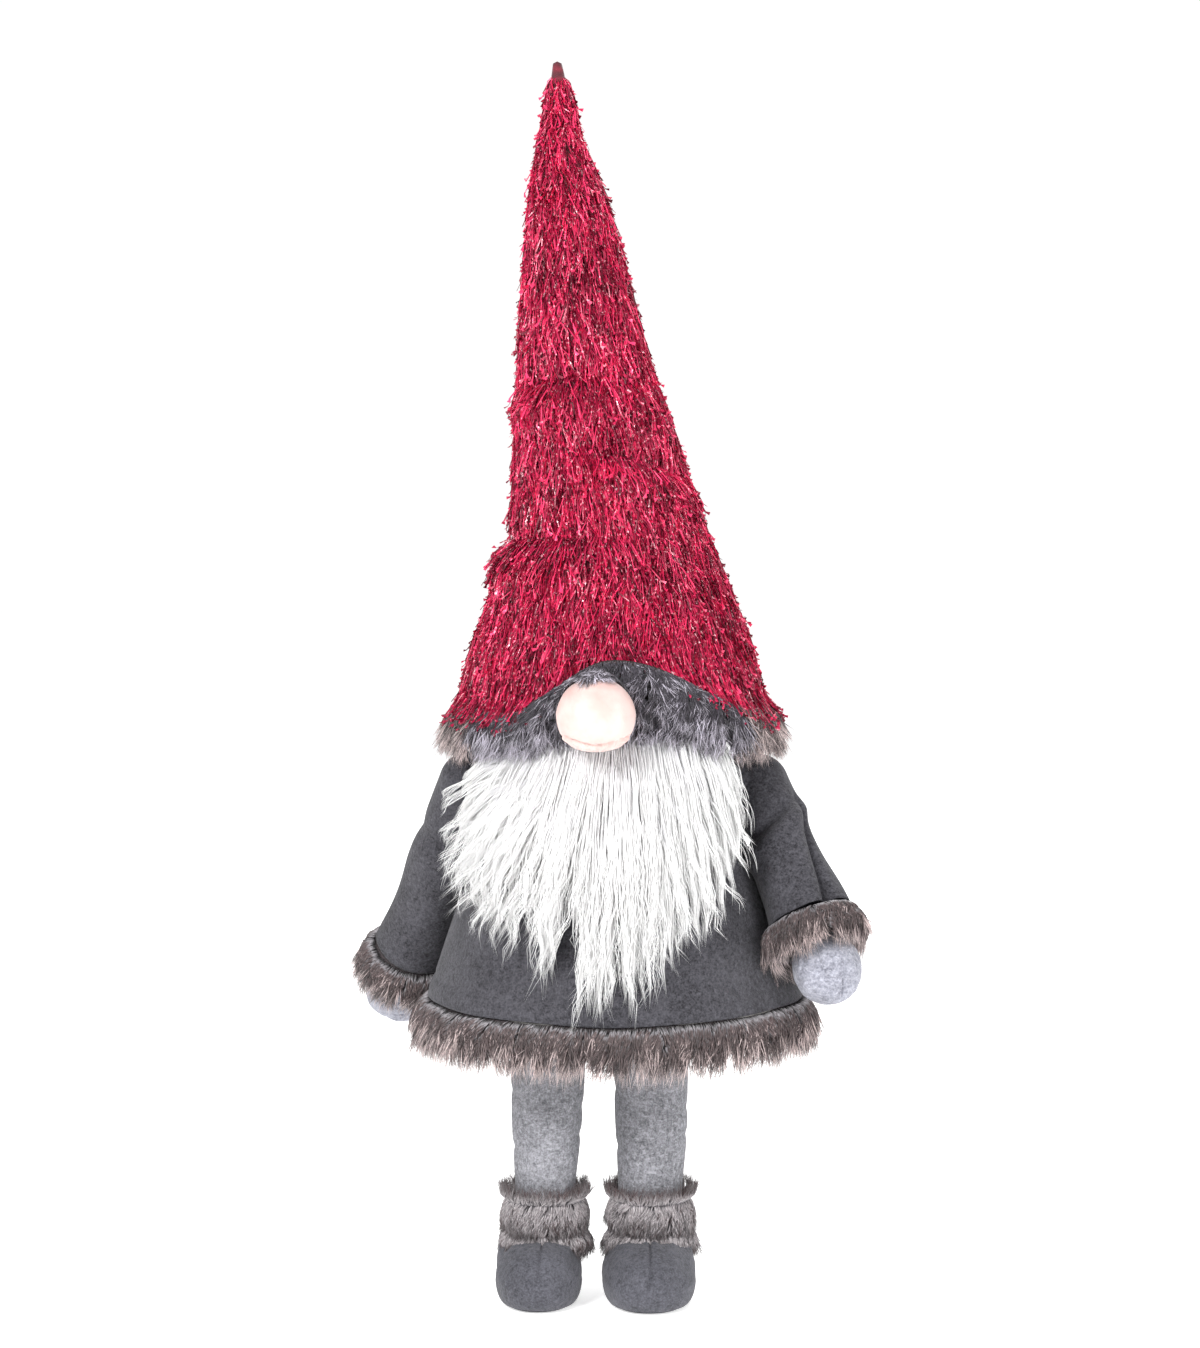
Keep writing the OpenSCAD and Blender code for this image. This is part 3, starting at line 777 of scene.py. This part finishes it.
    def bottom_point(self, u, v):
        """The flat felt bottom, a disc with a rounded edge."""
        edge = self.sole_reach(TURN * u) * 0.80
        height = 0.0034
        base = Vector((self.boot.x, self.boot.y, 0))
        if v < 0.35:
            return base + around(TURN * u) * (edge - height / 2) * v / 0.35
        if v < 0.65:
            bend = (v - 0.35) / 0.30 * math.pi
            way = around(TURN * u) * (edge - height / 2 + height / 2 * math.sin(bend))
            return base + way + UP * height / 2 * (1 - math.cos(bend))
        return base + around(TURN * u) * (edge - height / 2) * (1 - v) / 0.35 + UP * height

    def tier(self, low, high, radius, rise):
        """A fur surface round the ankle between two heights, whose strands rise or fall."""
        def surface(u, v):
            angle = TURN * u
            z = high + (low - high) * v
            root = Vector((self.ankle.x, self.ankle.y, z)) + around(angle) * (radius
                                                                              + 0.003 * math.sin(math.pi * v))
            return root, around(angle), UP * rise, 1.0
        return surface


# ---------- the nose ----------

def make_nose():
    """A stuffed stocking ball, gathered by a curved seam low on its front."""
    def place(u, v):
        angle, polar = TURN * u, math.pi * v
        way = around(angle) * math.sin(polar) + UP * math.cos(polar)
        low = -way.z
        radius = NOSE_R + 0.0008 - 0.0012 * max(0, way.z) + 0.0006 * rough(way, 2.5, 1.0)
        seam = low - 0.60 - 0.10 * math.cos(2.4 * math.atan2(way.x, -way.y))
        radius -= 0.0036 * bump_at(seam, 0, 0.035) * fade(-way.y, -0.2, 0.3)
        gather = math.sin(17 * math.atan2(way.x, -way.y)) * bump_at(seam, 0.05, 0.10)
        radius -= 0.0012 * gather + 0.0024 * fade(low, 0.78, 1.0)
        return NOSE + way * radius

    nose = from_bmesh("nose_ball", skin(place, 120, 80))
    return finish_piece(nose, FINISH["nose"], "torso", ["nose_cover", "nose_filling"])


# ---------- the beard ----------

def beard_reach(z):
    """How far the beard's outside is from the body's axis at a height."""
    return between(z, ((0.250, 0.166), (0.330, 0.153), (0.420, 0.137), (0.465, 0.128), (0.486, 0.122)))


def lock_root(tip):
    """The turn of a lock's root, in degrees, from that of its tip: locks fan out."""
    return tip * (BEARD_FAN[0] if tip < 0 else BEARD_FAN[1])


def taper(draw, thinnest, thickest, points):
    """A strand through the points, pointed at both ends."""
    last = len(points) - 1
    thick = draw.uniform(thinnest, thickest)
    radii = [0] + [thick * (1 - 0.5 * k / last) for k in range(1, last)] + [0]
    return points, radii, draw.uniform(0, math.pi)


def beard_paths(props):
    """Locks that fan out from the nose and end in points, in several layers."""
    draw = random.Random(7)
    paths = []
    first, last = BEARD_LINE[0][0], BEARD_LINE[-1][0]
    for lock in range(props.locks):
        share = (lock + draw.random()) / props.locks
        tip = first + (last - first) * share
        root = lock_root(tip) + draw.uniform(-2, 2)
        depth = draw.random() ** 0.8
        full = between(tip, BEARD_LINE)
        top = 0.484 - 0.016 * depth
        if draw.random() < 0.68:
            end = top + (full - top) * draw.uniform(0.42, 0.96)
        else:
            end = full + draw.uniform(-0.006, 0.012)
        wild = 0.15 + 0.85 * fade(-tip, 8, 40) + 0.4 * fade(tip, 30, 50) + 0.35 * draw.random()
        wave = draw.uniform(0.034, 0.062)
        phase = draw.uniform(0, TURN)
        size = draw.uniform(1.4, 3.0)
        for _ in range(props.hairs):
            spread = draw.gauss(0, 1) * size
            layer = depth * 0.018 + draw.uniform(0, 0.006)
            close = 0.96 if draw.random() < 0.92 else 0.3
            own = draw.uniform(0.90, 1.02)
            aside0 = draw.uniform(-1, 1) * 0.003
            points = []
            for k in range(props.steps + 1):
                s = k / props.steps
                z = top + (end - top) * s * own
                angle = math.radians(root + (tip - root) * s ** 0.85 + spread * (1 - close * s ** 1.3))
                flow = s * s * (3 - 2 * s)
                swing = (0.0006 + 0.0044 * wild * flow) * math.sin(z / wave * TURN + phase)
                radius = beard_reach(z) - layer * (1 - 0.3 * s) - 0.006 * (1 - fade(s, 0.0, 0.12))
                radius += 0.4 * swing - 0.004 * fade(s, 0.8, 1) + 0.003 * math.sin(math.pi * s)
                across = around(angle).cross(UP)
                point = BODY_AXIS + around(angle) * radius + UP * z + across * (swing + aside0 * (s - s * s))
                points.append(keep_out(point, NOSE, NOSE_R + 0.0016))
            paths.append(taper(draw, 0.00022, 0.00042, points))
    return paths


def loose_locks(props):
    """Thin wavy locks on the beard's outside, which end a little past the others and mostly to its right."""
    draw = random.Random(31)
    paths = []
    first, last = BEARD_LINE[0][0], BEARD_LINE[-1][0]
    for _ in range(props.loose):
        tip = first + (last - first) * draw.random() ** 1.35
        root = lock_root(tip) + draw.uniform(-3, 3)
        top = 0.480 - 0.070 * draw.random()
        full = between(tip, BEARD_LINE)
        end = full + (top - full) * draw.uniform(0.0, 0.30) - draw.uniform(0.0, 0.012)
        wave, phase = draw.uniform(0.026, 0.046), draw.uniform(0, TURN)
        sway = draw.uniform(0.0030, 0.0080)
        stray = draw.uniform(-5, 5)
        for _ in range(draw.randrange(5, 11)):
            spread = draw.gauss(0, 1) * 1.1
            own = draw.uniform(0.88, 1.03)
            late = phase + draw.gauss(0, 0.35)
            points = []
            for k in range(props.steps + 1):
                s = k / props.steps
                z = top + (end - top) * s * own
                angle = math.radians(root + (tip - root) * s ** 0.85 + spread * (1 - 0.7 * s)
                                     + stray * s ** 3)
                swing = sway * s ** 1.5 * math.sin(z / wave * TURN + late)
                radius = beard_reach(z) + 0.001 + 0.0025 * s + 0.35 * swing - 0.008 * (1 - fade(s, 0.0, 0.15))
                point = BODY_AXIS + around(angle) * radius + UP * z + around(angle).cross(UP) * swing
                points.append(keep_out(point, NOSE, NOSE_R + 0.0016))
            paths.append(taper(draw, 0.00020, 0.00034, points))
    return paths


def stray_locks():
    """A few curly ends that stand off the beard's left and right edges."""
    draw = random.Random(19)
    paths = []
    # angle and height of the root, the way it goes, its length, and how tight its curl is
    strays = ((37, 0.470, 1, 0.045, 0.50), (39, 0.462, 1, 0.055, 0.62), (41, 0.452, 1, 0.050, 0.45),
              (40, 0.436, 1, 0.055, 0.60), (41, 0.405, 1, 0.050, 0.55), (-42, 0.462, -1, 0.050, 0.40),
              (-50, 0.436, -1, 0.050, 0.36), (-58, 0.395, -1, 0.045, 0.40))
    for degrees, z0, side, length, tight in strays:
        phase = draw.uniform(0, TURN)
        for _ in range(9):
            tight *= draw.uniform(0.93, 1.07)
            angle = math.radians(degrees + draw.gauss(0, 1.4))
            sunk = draw.uniform(0.002, 0.010)
            base = (BODY_AXIS + around(angle) * (beard_reach(z0) - sunk)
                    + UP * (z0 + draw.gauss(0, 0.003)))
            aside = around(angle).cross(UP) * -side
            reach = length * draw.uniform(0.7, 1.05)
            points = []
            for k in range(11):
                s = k / 10
                turn = s * tight * math.pi + 0.2
                spot = base + aside * reach * 0.45 * math.sin(turn) + around(angle) * 0.012 * s
                spot -= UP * reach * (0.9 * s + 0.12 * math.sin(turn * 1.7 + phase))
                points.append(spot)
            size = draw.uniform(0.0002, 0.00035)
            paths.append((points, [0] + [size * (1 - 0.06 * k) for k in range(1, 10)] + [0],
                          draw.uniform(0, 3)))
    return paths


def make_beard(props):
    paths = beard_paths(props) + loose_locks(props) + stray_locks()
    limit = 190000 // (6 * props.steps)
    for k in range(0, len(paths), limit):
        piece = strand_piece(f"beard_hair_{k // limit + 1}", paths[k:k + limit])
        finish_piece(piece, FINISH["beard"], None, ["beard_hair"] if k == 0 else ())
        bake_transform(piece)

    def place(u, v):
        angle = math.radians(BEARD_LINE[0][0] + 6 + (BEARD_LINE[-1][0] - BEARD_LINE[0][0] - 12) * u)
        z = 0.470 - 0.085 * v * (1 - 0.45 * abs(2 * u - 1) ** 2)
        return BODY_AXIS + around(angle) * (beard_reach(z) - 0.024) + UP * z

    bm = skin(place, 60, 16)
    bmesh.ops.solidify(bm, geom=bm.faces[:], thickness=0.0012)
    backing = from_bmesh("beard_backing_cloth", bm)
    finish_piece(backing, FINISH["backing"], None, ["beard_backing"])
    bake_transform(backing)


# ---------- the hat ----------

def hat_point(angle, z, inward=0.0):
    """A point of the hat's cloth, which sags over itself in three folds."""
    x, radius = between(z, HAT_LINE, 1), between(z, HAT_LINE, 2)
    low = 0.622 + 0.006 * math.sin(angle + 0.6)
    slant = 0.690 - 0.018 * math.sin(angle - 0.5)
    high = 0.752 + 0.004 * math.cos(angle * 2)
    full = fade(z, HAT_Z, HAT_Z + 0.03) * (1 - fade(z, 0.93, 0.99))
    right, left = fade(-math.sin(angle), -0.6, 0.8), fade(math.sin(angle), -0.7, 0.7)
    fold = right * (-0.0080 * bump_at(z, low + 0.006, 0.010) + 0.0050 * bump_at(z, low - 0.016, 0.014))
    seen = 1 - 0.8 * fade(abs(math.sin(angle)), 0.75, 1.0)
    fold += (0.3 + 0.7 * left) * seen * (-0.0075 * bump_at(z, slant, 0.009)
                                         + 0.0050 * bump_at(z, slant - 0.020, 0.014))
    fold += (0.4 + 0.6 * right) * seen * (-0.0070 * bump_at(z, high, 0.008)
                                          + 0.0048 * bump_at(z, high - 0.018, 0.012))
    fold += 0.0050 * rough(around(angle) * 1.1 + UP * z * 9, 1.0, 21.0)
    depth = 0.92 + 0.08 * fade(z, 0.60, HAT_Z)
    side = around(angle)
    side.y *= depth
    centre = BODY_AXIS + Vector((x, 0.004 * math.sin(z * 14), 0))
    return centre + side * (radius + fold * full - inward) + UP * z


def hat_edge(angle):
    return HAT_Z + 0.007 + brim_rise(angle)


def make_hat_cloth(name, low, high, closed):
    """A stretch of the hat's knit, between heights that may change round it."""
    def place(u, v):
        angle = TURN * u
        z0, z1 = low(angle), high(angle)
        if v < 0.90:
            return hat_point(angle, z0 + (z1 - z0) * v / 0.90)
        if closed:
            return hat_point(angle, z1).lerp(BODY_AXIS
                                             + Vector((between(HAT_TOP, HAT_LINE, 1), 0, HAT_TOP + 0.0015)),
                                             (v - 0.90) / 0.10)
        return hat_point(angle, z1 - (v - 0.90) * 0.05, 0.002)

    return from_bmesh(name, skin(place, 180, 110))


def tinsel_paths(seed, count, low, high, props):
    """Ribbons that hang from the knit, longer than the rows are apart, some with a wider flake at the end."""
    draw = random.Random(seed)
    widest = between(low, HAT_LINE, 2)
    paths = []
    while len(paths) < count:
        angle = draw.uniform(0, TURN)
        z = draw.uniform(low, high)
        radius = between(z, HAT_LINE, 2)
        if draw.random() * widest > radius + 0.006 or z < hat_edge(angle) + 0.001:
            continue
        root = hat_point(angle, z)
        below = hat_point(angle, z - 0.006)
        aside = hat_point(angle + 0.03, z)
        fall = (below - root).normalized()
        outward = fall.cross(aside - root).normalized()
        if outward.dot(around(angle)) < 0:
            outward.negate()
        across = outward.cross(fall)
        clump = noise.noise(root * 140) * 0.5
        length = props.fringe * draw.uniform(0.65, 1.15) * (0.65 + 0.35 * fade(radius, 0.005, 0.045))
        stray = draw.random() < 0.04
        length *= 0.7 if stray else 1
        lift = draw.uniform(0.02, 0.30) + (0.45 if stray else 0)
        lean = clump + draw.uniform(-0.45, 0.45) + (draw.uniform(-0.9, 0.9) if stray else 0)
        lift += 0.75 * (1 - fade(z, hat_edge(angle) + 0.004, hat_edge(angle) + 0.026))
        way = (fall + outward * lift + across * lean).normalized()
        middle = root + (fall + outward * (lift + 0.35) + across * lean * 0.6).normalized() * length * 0.45
        tip = root + way * length + (fall - UP * 0.3) * length * 0.08
        size = draw.uniform(0.00030, 0.00062)
        points = [root - outward * 0.001, middle, tip]
        radii = [size, size, size * 0.8]
        if draw.random() < props.flakes:
            curl = (way + outward * draw.uniform(-1, 1) + across * draw.uniform(-1, 1)).normalized()
            points.append(tip + curl * draw.uniform(0.0025, 0.0045))
            radii = [size, size, size * 1.1, draw.uniform(0.0010, 0.0018)]
        paths.append((points, radii, draw.uniform(0, math.pi)))
    return paths


def make_hat(props):
    def edge(angle):
        return hat_edge(angle)

    def split(_):
        return HAT_SPLIT_Z

    lower = make_hat_cloth("hat_lower_knit", edge, split, False)
    upper = make_hat_cloth("hat_upper_knit", split, lambda _: HAT_TOP, True)
    share = 0.60
    low_paths = tinsel_paths(31, int(props.ribbons * share), HAT_Z, HAT_SPLIT_Z, props)
    high_paths = tinsel_paths(37, props.ribbons - len(low_paths), HAT_SPLIT_Z, HAT_TOP - 0.010, props)
    lean_way = Vector((0, 0, 0.038))
    nod_way = Vector((-0.003, 0, 0.038))
    groups = (
        ("hat_lower", lower, low_paths, "torso", "hat_mid", LEAN, lean_way,
         ["hat_base_cloth", "hat_base_stuffing", "hat_mid_cloth", "hat_mid_stuffing"]),
        ("hat_upper", upper, high_paths, "hat_mid", "hat_tip", NOD, nod_way,
         ["hat_tip_cloth", "hat_tip_stuffing"]),
    )
    limit = 24000
    for name, cloth, paths, below, above, pivot, way, stands_for in groups:
        pieces = [finish_piece(cloth, FINISH["knit"], None, stands_for)]
        for k in range(0, len(paths), limit):
            piece = strand_piece(f"{name}_fringe_{k // limit + 1}", paths[k:k + limit], sides=2)
            pieces.append(finish_piece(piece, FINISH["tinsel"], None))
        for piece in pieces:
            tuple(pivot - way)
            tuple(pivot + way)
            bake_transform(piece)


# ---------- properties ----------

def length(name, description, default):
    return FloatProperty(name=name, description=description, default=default, unit="LENGTH")


def colour(name, description, *screen):
    return FloatVectorProperty(name=name, description=description, subtype="COLOR", size=4,
                               default=tone(*screen))


class TomteCoat(bpy.types.PropertyGroup):
    seam: FloatProperty(name="Seam", description="How strongly the hem's seam stands out", default=1.0,
                        min=0, max=2)
    dark: colour("Dark", "The fleece's darker tone", 34, 33, 37)
    light: colour("Light", "The fleece's lighter tone", 84, 83, 89)


class TomteFur(bpy.types.PropertyGroup):
    hem: length("Hem pile", "Length of the hem's pile", 0.025)
    brim: length("Brim pile", "Length of the brim's pile", 0.026)
    cuff: length("Cuff pile", "Length of the cuffs' pile", 0.022)
    boot: length("Boot pile", "Length of the boots' pile", 0.0155)
    density: FloatProperty(name="Density", description="Strands as a share of the full number", default=1.0,
                           min=0.1,
                           max=1.5)
    root: colour("Root", "Colour near the skin", 148, 146, 150)
    body: colour("Body", "Colour half way out", 78, 67, 67)
    tip: colour("Tip", "Colour at the ends", 200, 184, 182)


class TomteHat(bpy.types.PropertyGroup):
    fringe: length("Fringe", "Length of the hanging ribbons", 0.021)
    ribbons: IntProperty(name="Ribbons", description="How many ribbons hang from the knit", default=56000,
                         min=100)
    flakes: FloatProperty(name="Flakes", description="Share of ribbons that end in a flake", default=0.34,
                          min=0, max=1)
    deep: colour("Deep red", "The ribbons' darker red", 84, 2, 26)
    bright: colour("Bright red", "The ribbons' brighter red", 240, 44, 100)


class TomteBeard(bpy.types.PropertyGroup):
    locks: IntProperty(name="Locks", description="How many locks the beard has", default=200, min=10)
    hairs: IntProperty(name="Hairs", description="Hairs in each lock", default=30, min=4)
    loose: IntProperty(name="Loose locks", description="How many thin locks lie over the others", default=90,
                       min=0)
    steps: IntProperty(name="Steps", description="Straight pieces in each hair", default=9, min=4)


class TomteStage(bpy.types.PropertyGroup):
    distance: length("Distance", "From the camera to the figure", 3.2)
    aside: length("Aside", "The camera's place to the side", -0.011)
    height: length("Height", "The camera's height", 0.86)
    pitch: FloatProperty(name="Pitch", description="How far the camera looks down",
                         default=math.radians(6.22),
                         subtype="ANGLE")
    ambient: FloatProperty(name="Ambient", description="How strongly the white room lights the figure",
                           default=0.5)
    lens: FloatProperty(name="Lens", description="The camera's focal length in millimetres", default=106.2)


# ---------- operators ----------

FINISH = {}
BACKDROP = 1.02  # how bright the room is behind the figure


class TomteOperator:
    """What the operators share."""
    bl_options = {"REGISTER", "UNDO"}


class TOMTE_OT_finishes(TomteOperator, bpy.types.Operator):
    """Make the materials, and give the pieces inside the figure theirs"""
    bl_idname = "tomte.finishes"
    bl_label = "Finishes"

    def execute(self, context):
        coat, pelt, hat = context.scene.tomte_coat, context.scene.tomte_fur, context.scene.tomte_hat
        FINISH.update({
            "coat": fleece("coat fleece", coat.dark, coat.light),
            "boot": fleece("boot fleece", tone(54, 54, 59), tone(98, 98, 106)),
            "leg": fleece("leg fleece", tone(84, 84, 88), tone(158, 158, 164), 0.30),
            "mitten": fleece("mitten felt", tone(118, 119, 129), tone(178, 179, 190), 0.30, 0.8),
            "fur": pile("grey-brown pile", pelt.root, pelt.body, pelt.tip),
            "brim": pile("brim pile", tone(96, 95, 104), tone(54, 50, 58), tone(186, 182, 194), 6.0),
            "boot_fur": pile("boot pile", tone(132, 130, 134), tone(158, 154, 156), tone(66, 50, 50), 3.0,
                             0.06),
            "pelt": loose("pile backing", tone(44, 38, 40), tone(70, 62, 64), 500),
            # the last tone is the colour of the painted glints, a painted highlight
            "tinsel": tinsel("tinsel ribbon", hat.deep, hat.bright, tone(255, 190, 200)),
            # the second tone is painted shade in the grooves between the knit's rows
            "knit": knit("maroon knit", tone(112, 12, 36), tone(58, 4, 18)),
            "nose": stocking("nose stocking", tone(214, 188, 182), tone(204, 158, 150)),
            "beard": hair_finish("beard hair", tone(222, 221, 226), tone(247, 247, 246)),
            "backing": loose("beard backing", tone(206, 204, 208), tone(232, 230, 232), 900),
            "lining": loose("lining", tone(140, 138, 136), tone(176, 174, 170), 1200),
            "filling": loose("fibre filling", tone(222, 221, 216), tone(246, 245, 240), 160),
            "sand": loose("sand bag", tone(150, 126, 92), tone(206, 184, 142), 1500),
            "wood": timber("softwood", tone(214, 178, 128), tone(164, 120, 72)),
            "wire": loose("annealed wire", tone(96, 96, 100), tone(150, 150, 154), 700, 1.0, 0.4),
        })
        by_slot = {"lining": "lining", "stuffing": "filling", "ballast": "sand", "wood": "wood",
                   "steel_wire": "wire"}
        for part in frame["record"]["subparts"]:
            finish = by_slot.get(part["material_slot"])
            if finish:
                mesh = frame["nodes"][part["node"]].data
                mesh.materials.clear()
                mesh.materials.append(FINISH[finish])
        return {"FINISHED"}


class TOMTE_OT_coat(TomteOperator, bpy.types.Operator):
    """Make the coat and the fur along its hem"""
    bl_idname = "tomte.coat"
    bl_label = "Coat and hem"

    def execute(self, context):
        pelt = context.scene.tomte_fur
        coat, girth, slant = make_coat(context.scene.tomte_coat)
        backing = band("hem_backing", hem_surface, 0.0016, FINISH["pelt"], "torso",
                       ["coat_hem_fur"])
        paths = fur(11, int(19000 * pelt.density), hem_surface, pelt.hem, 0.50, 0.86)
        fur_pieces("hem_fur", paths, FINISH["fur"], "torso", 14000)
        area = math.pi * (HEM_R + COAT_LINE[0][1]) * slant
        return {"FINISHED"}


class TOMTE_OT_brim(TomteOperator, bpy.types.Operator):
    """Make the hat's fur brim, which is raised over the nose"""
    bl_idname = "tomte.brim"
    bl_label = "Brim"

    def execute(self, context):
        pelt = context.scene.tomte_fur
        band("brim_backing", brim_surface, 0.0016, FINISH["pelt"], "torso", ["hat_brim_fur"])
        paths = fur(13, int(22000 * pelt.density), brim_surface, pelt.brim, 0.62, 0.74, curl=0.45,
                    ball=(NOSE, NOSE_R, BEHIND_NOSE))
        front, sides = [], []
        for path in paths:
            root = path[0][0]
            near = root.y < BODY_AXIS.y - HAT_R * (0.62 + 0.16 * rough(root, 40))
            (front if near else sides).append(path)
        front += fur(14, int(2400 * pelt.density), brow_surface, 0.016, -0.10, 1.0, curl=0.34,
                     ball=(NOSE, NOSE_R, 0))
        front += fur(15, int(4500 * pelt.density), arch_surface, pelt.brim * 1.15, 0.62, 0.74, curl=0.5,
                     ball=(NOSE, NOSE_R, BEHIND_NOSE))
        fur_pieces("brim_front_fur", front, FINISH["brim"], "torso", 14000)
        fur_pieces("brim_side_fur", sides, FINISH["fur"], "torso", 14000)
        return {"FINISHED"}


class TOMTE_OT_arms(TomteOperator, bpy.types.Operator):
    """Make both arms: shoulders, sleeves, fur cuffs and mittens"""
    bl_idname = "tomte.arms"
    bl_label = "Arms"

    def execute(self, context):
        pelt = context.scene.tomte_fur
        for seed, side in ((17, "right"), (18, "left")):
            arm = Arm(side)
            body = f"{side}_arm"
            arm.make_shoulder()
            arm.make_sleeve()
            arm.make_mitten()
            band(f"{side}_cuff_backing", arm.cuff_surface, 0.0016, FINISH["pelt"], body,
                 [f"{side}_sleeve_fur"])
            paths = fur(seed, int(6000 * pelt.density), arm.cuff_surface, pelt.cuff, 0.36, 0.86)
            fur_pieces(f"{side}_cuff_fur", paths, FINISH["fur"], body, 14000)
        return {"FINISHED"}


class TOMTE_OT_feet(TomteOperator, bpy.types.Operator):
    """Make both legs, their boots and the two tiers of fur on each"""
    bl_idname = "tomte.feet"
    bl_label = "Legs and boots"

    def execute(self, context):
        pelt = context.scene.tomte_fur
        for seed, side in ((23, "right"), (29, "left")):
            foot = Foot(side)
            foot.make_leg()
            foot.make_boot()
            tiers = (("upper", (0.078, 0.083, 0.0275, 1), 1500, 0.55, 0.82, ()),
                     ("upper", (0.060, 0.083, 0.0280, -1), 4500, 0.36, 0.90, [f"{side}_boot_fur_upper"]),
                     ("lower", (0.043, 0.056, 0.0290, -1), 3400, 0.56, 0.82, [f"{side}_boot_fur_lower"]))
            for k, (name, size, count, out, fall, stands_for) in enumerate(tiers):
                surface = foot.tier(*size)
                label = f"{side}_boot_{name}_fur_{k + 1}"
                if stands_for:
                    band(f"{label}_backing", surface, 0.0016, FINISH["pelt"], "torso", stands_for)
                paths = fur(seed + k, int(count * pelt.density), surface, pelt.boot, out, fall, curl=0.50,
                            width=0.00044, tuft=0.007, shift=0.12)
                fur_pieces(label, paths, FINISH["boot_fur"], "torso", 14000)
        return {"FINISHED"}


class TOMTE_OT_nose(TomteOperator, bpy.types.Operator):
    """Make the round nose"""
    bl_idname = "tomte.nose"
    bl_label = "Nose"

    def execute(self, context):
        make_nose()
        return {"FINISHED"}


class TOMTE_OT_beard(TomteOperator, bpy.types.Operator):
    """Make the beard's hair and its backing"""
    bl_idname = "tomte.beard"
    bl_label = "Beard"

    def execute(self, context):
        make_beard(context.scene.tomte_beard)
        return {"FINISHED"}


class TOMTE_OT_hat(TomteOperator, bpy.types.Operator):
    """Make the hat's knit and its tinsel fringe"""
    bl_idname = "tomte.hat"
    bl_label = "Hat"

    def execute(self, context):
        make_hat(context.scene.tomte_hat)
        return {"FINISHED"}


class TOMTE_OT_stage(TomteOperator, bpy.types.Operator):
    """Make the floor, the soft lights and the camera"""
    bl_idname = "tomte.stage"
    bl_label = "Stage"

    def execute(self, context):
        scene = context.scene
        props = scene.tomte_stage
        bm = bmesh.new()
        bmesh.ops.create_grid(bm, x_segments=8, y_segments=8, size=6)
        floor = from_bmesh("floor", bm)
        f = Finish("pale floor", Roughness=0.9, Emission_Strength=0.55)
        f.shader.inputs["Emission Color"].default_value = (1, 1, 1, 1)
        f.feed("Base Color", f.mix(f.grain(3), tone(250, 250, 250), tone(255, 255, 255)))
        floor.data.materials.append(f.material)

        world = bpy.data.worlds.new("white room")
        world.use_nodes = True
        tree = world.node_tree
        backdrop = tree.nodes["Background"]
        backdrop.inputs["Color"].default_value = (1, 1, 1, 1)
        seen = Value(tree, tree.nodes.new("ShaderNodeLightPath").outputs["Is Camera Ray"])
        strength = props.ambient + (BACKDROP - props.ambient) * seen
        tree.links.new(strength.socket, backdrop.inputs["Strength"])
        scene.world = world
        scene.view_settings.view_transform = "Standard"

        # name, place, size and power of each soft light
        lights = (("key light", (-1.5, -2.4, 2.0), 1.1, 100), ("fill light", (2.2, -1.9, 1.3), 1.3, 50),
                  ("back light", (0.6, 2.2, 2.2), 1.4, 40))
        aim = Vector((0, 0, 0.5))
        for name, place, size, power in lights:
            lamp = bpy.data.lights.new(name, "AREA")
            lamp.shape = "DISK"
            lamp.size = size
            lamp.energy = power
            holder = bpy.data.objects.new(name, lamp)
            holder.location = place
            holder.rotation_euler = (aim - Vector(place)).to_track_quat("-Z", "Y").to_euler()
            scene.collection.objects.link(holder)

        camera = bpy.data.cameras.new("camera")
        camera.lens = props.lens
        camera.sensor_width = 36
        camera.clip_end = 50
        holder = bpy.data.objects.new("camera", camera)
        holder.location = (BODY_AXIS.x + props.aside, BODY_AXIS.y - props.distance, props.height)
        holder.rotation_euler = (math.pi / 2 - props.pitch, 0, 0)
        scene.collection.objects.link(holder)
        scene.camera = holder
        return {"FINISHED"}


# ---------- panel and registration ----------

OPERATORS = (TOMTE_OT_finishes, TOMTE_OT_stage, TOMTE_OT_coat, TOMTE_OT_brim, TOMTE_OT_arms, TOMTE_OT_feet,
             TOMTE_OT_nose, TOMTE_OT_beard, TOMTE_OT_hat)
GROUPS = {"tomte_coat": TomteCoat, "tomte_fur": TomteFur, "tomte_hat": TomteHat, "tomte_beard": TomteBeard,
          "tomte_stage": TomteStage}


class TOMTE_PT_panel(bpy.types.Panel):
    """Lists the gnome's pieces and their sizes"""
    bl_idname = "TOMTE_PT_panel"
    bl_label = "Tomte gnome"
    bl_space_type = "VIEW_3D"
    bl_region_type = "UI"
    bl_category = "Tomte"

    def draw(self, context):
        for name, group in GROUPS.items():
            box = self.layout.box()
            for key in group.__annotations__:
                box.prop(getattr(context.scene, name), key)
        for operator in OPERATORS:
            self.layout.operator(operator.bl_idname)


def register():
    for cls in (*GROUPS.values(), *OPERATORS, TOMTE_PT_panel):
        bpy.utils.register_class(cls)
    for name, group in GROUPS.items():
        setattr(bpy.types.Scene, name, PointerProperty(type=group))


def unregister():
    for name in GROUPS:
        delattr(bpy.types.Scene, name)
    for cls in reversed((*GROUPS.values(), *OPERATORS, TOMTE_PT_panel)):
        bpy.utils.unregister_class(cls)


def main():
    register()
    for operator in OPERATORS:
        group, name = operator.bl_idname.split(".")
        getattr(getattr(bpy.ops, group), name)()


if __name__ == "__main__":
    main()
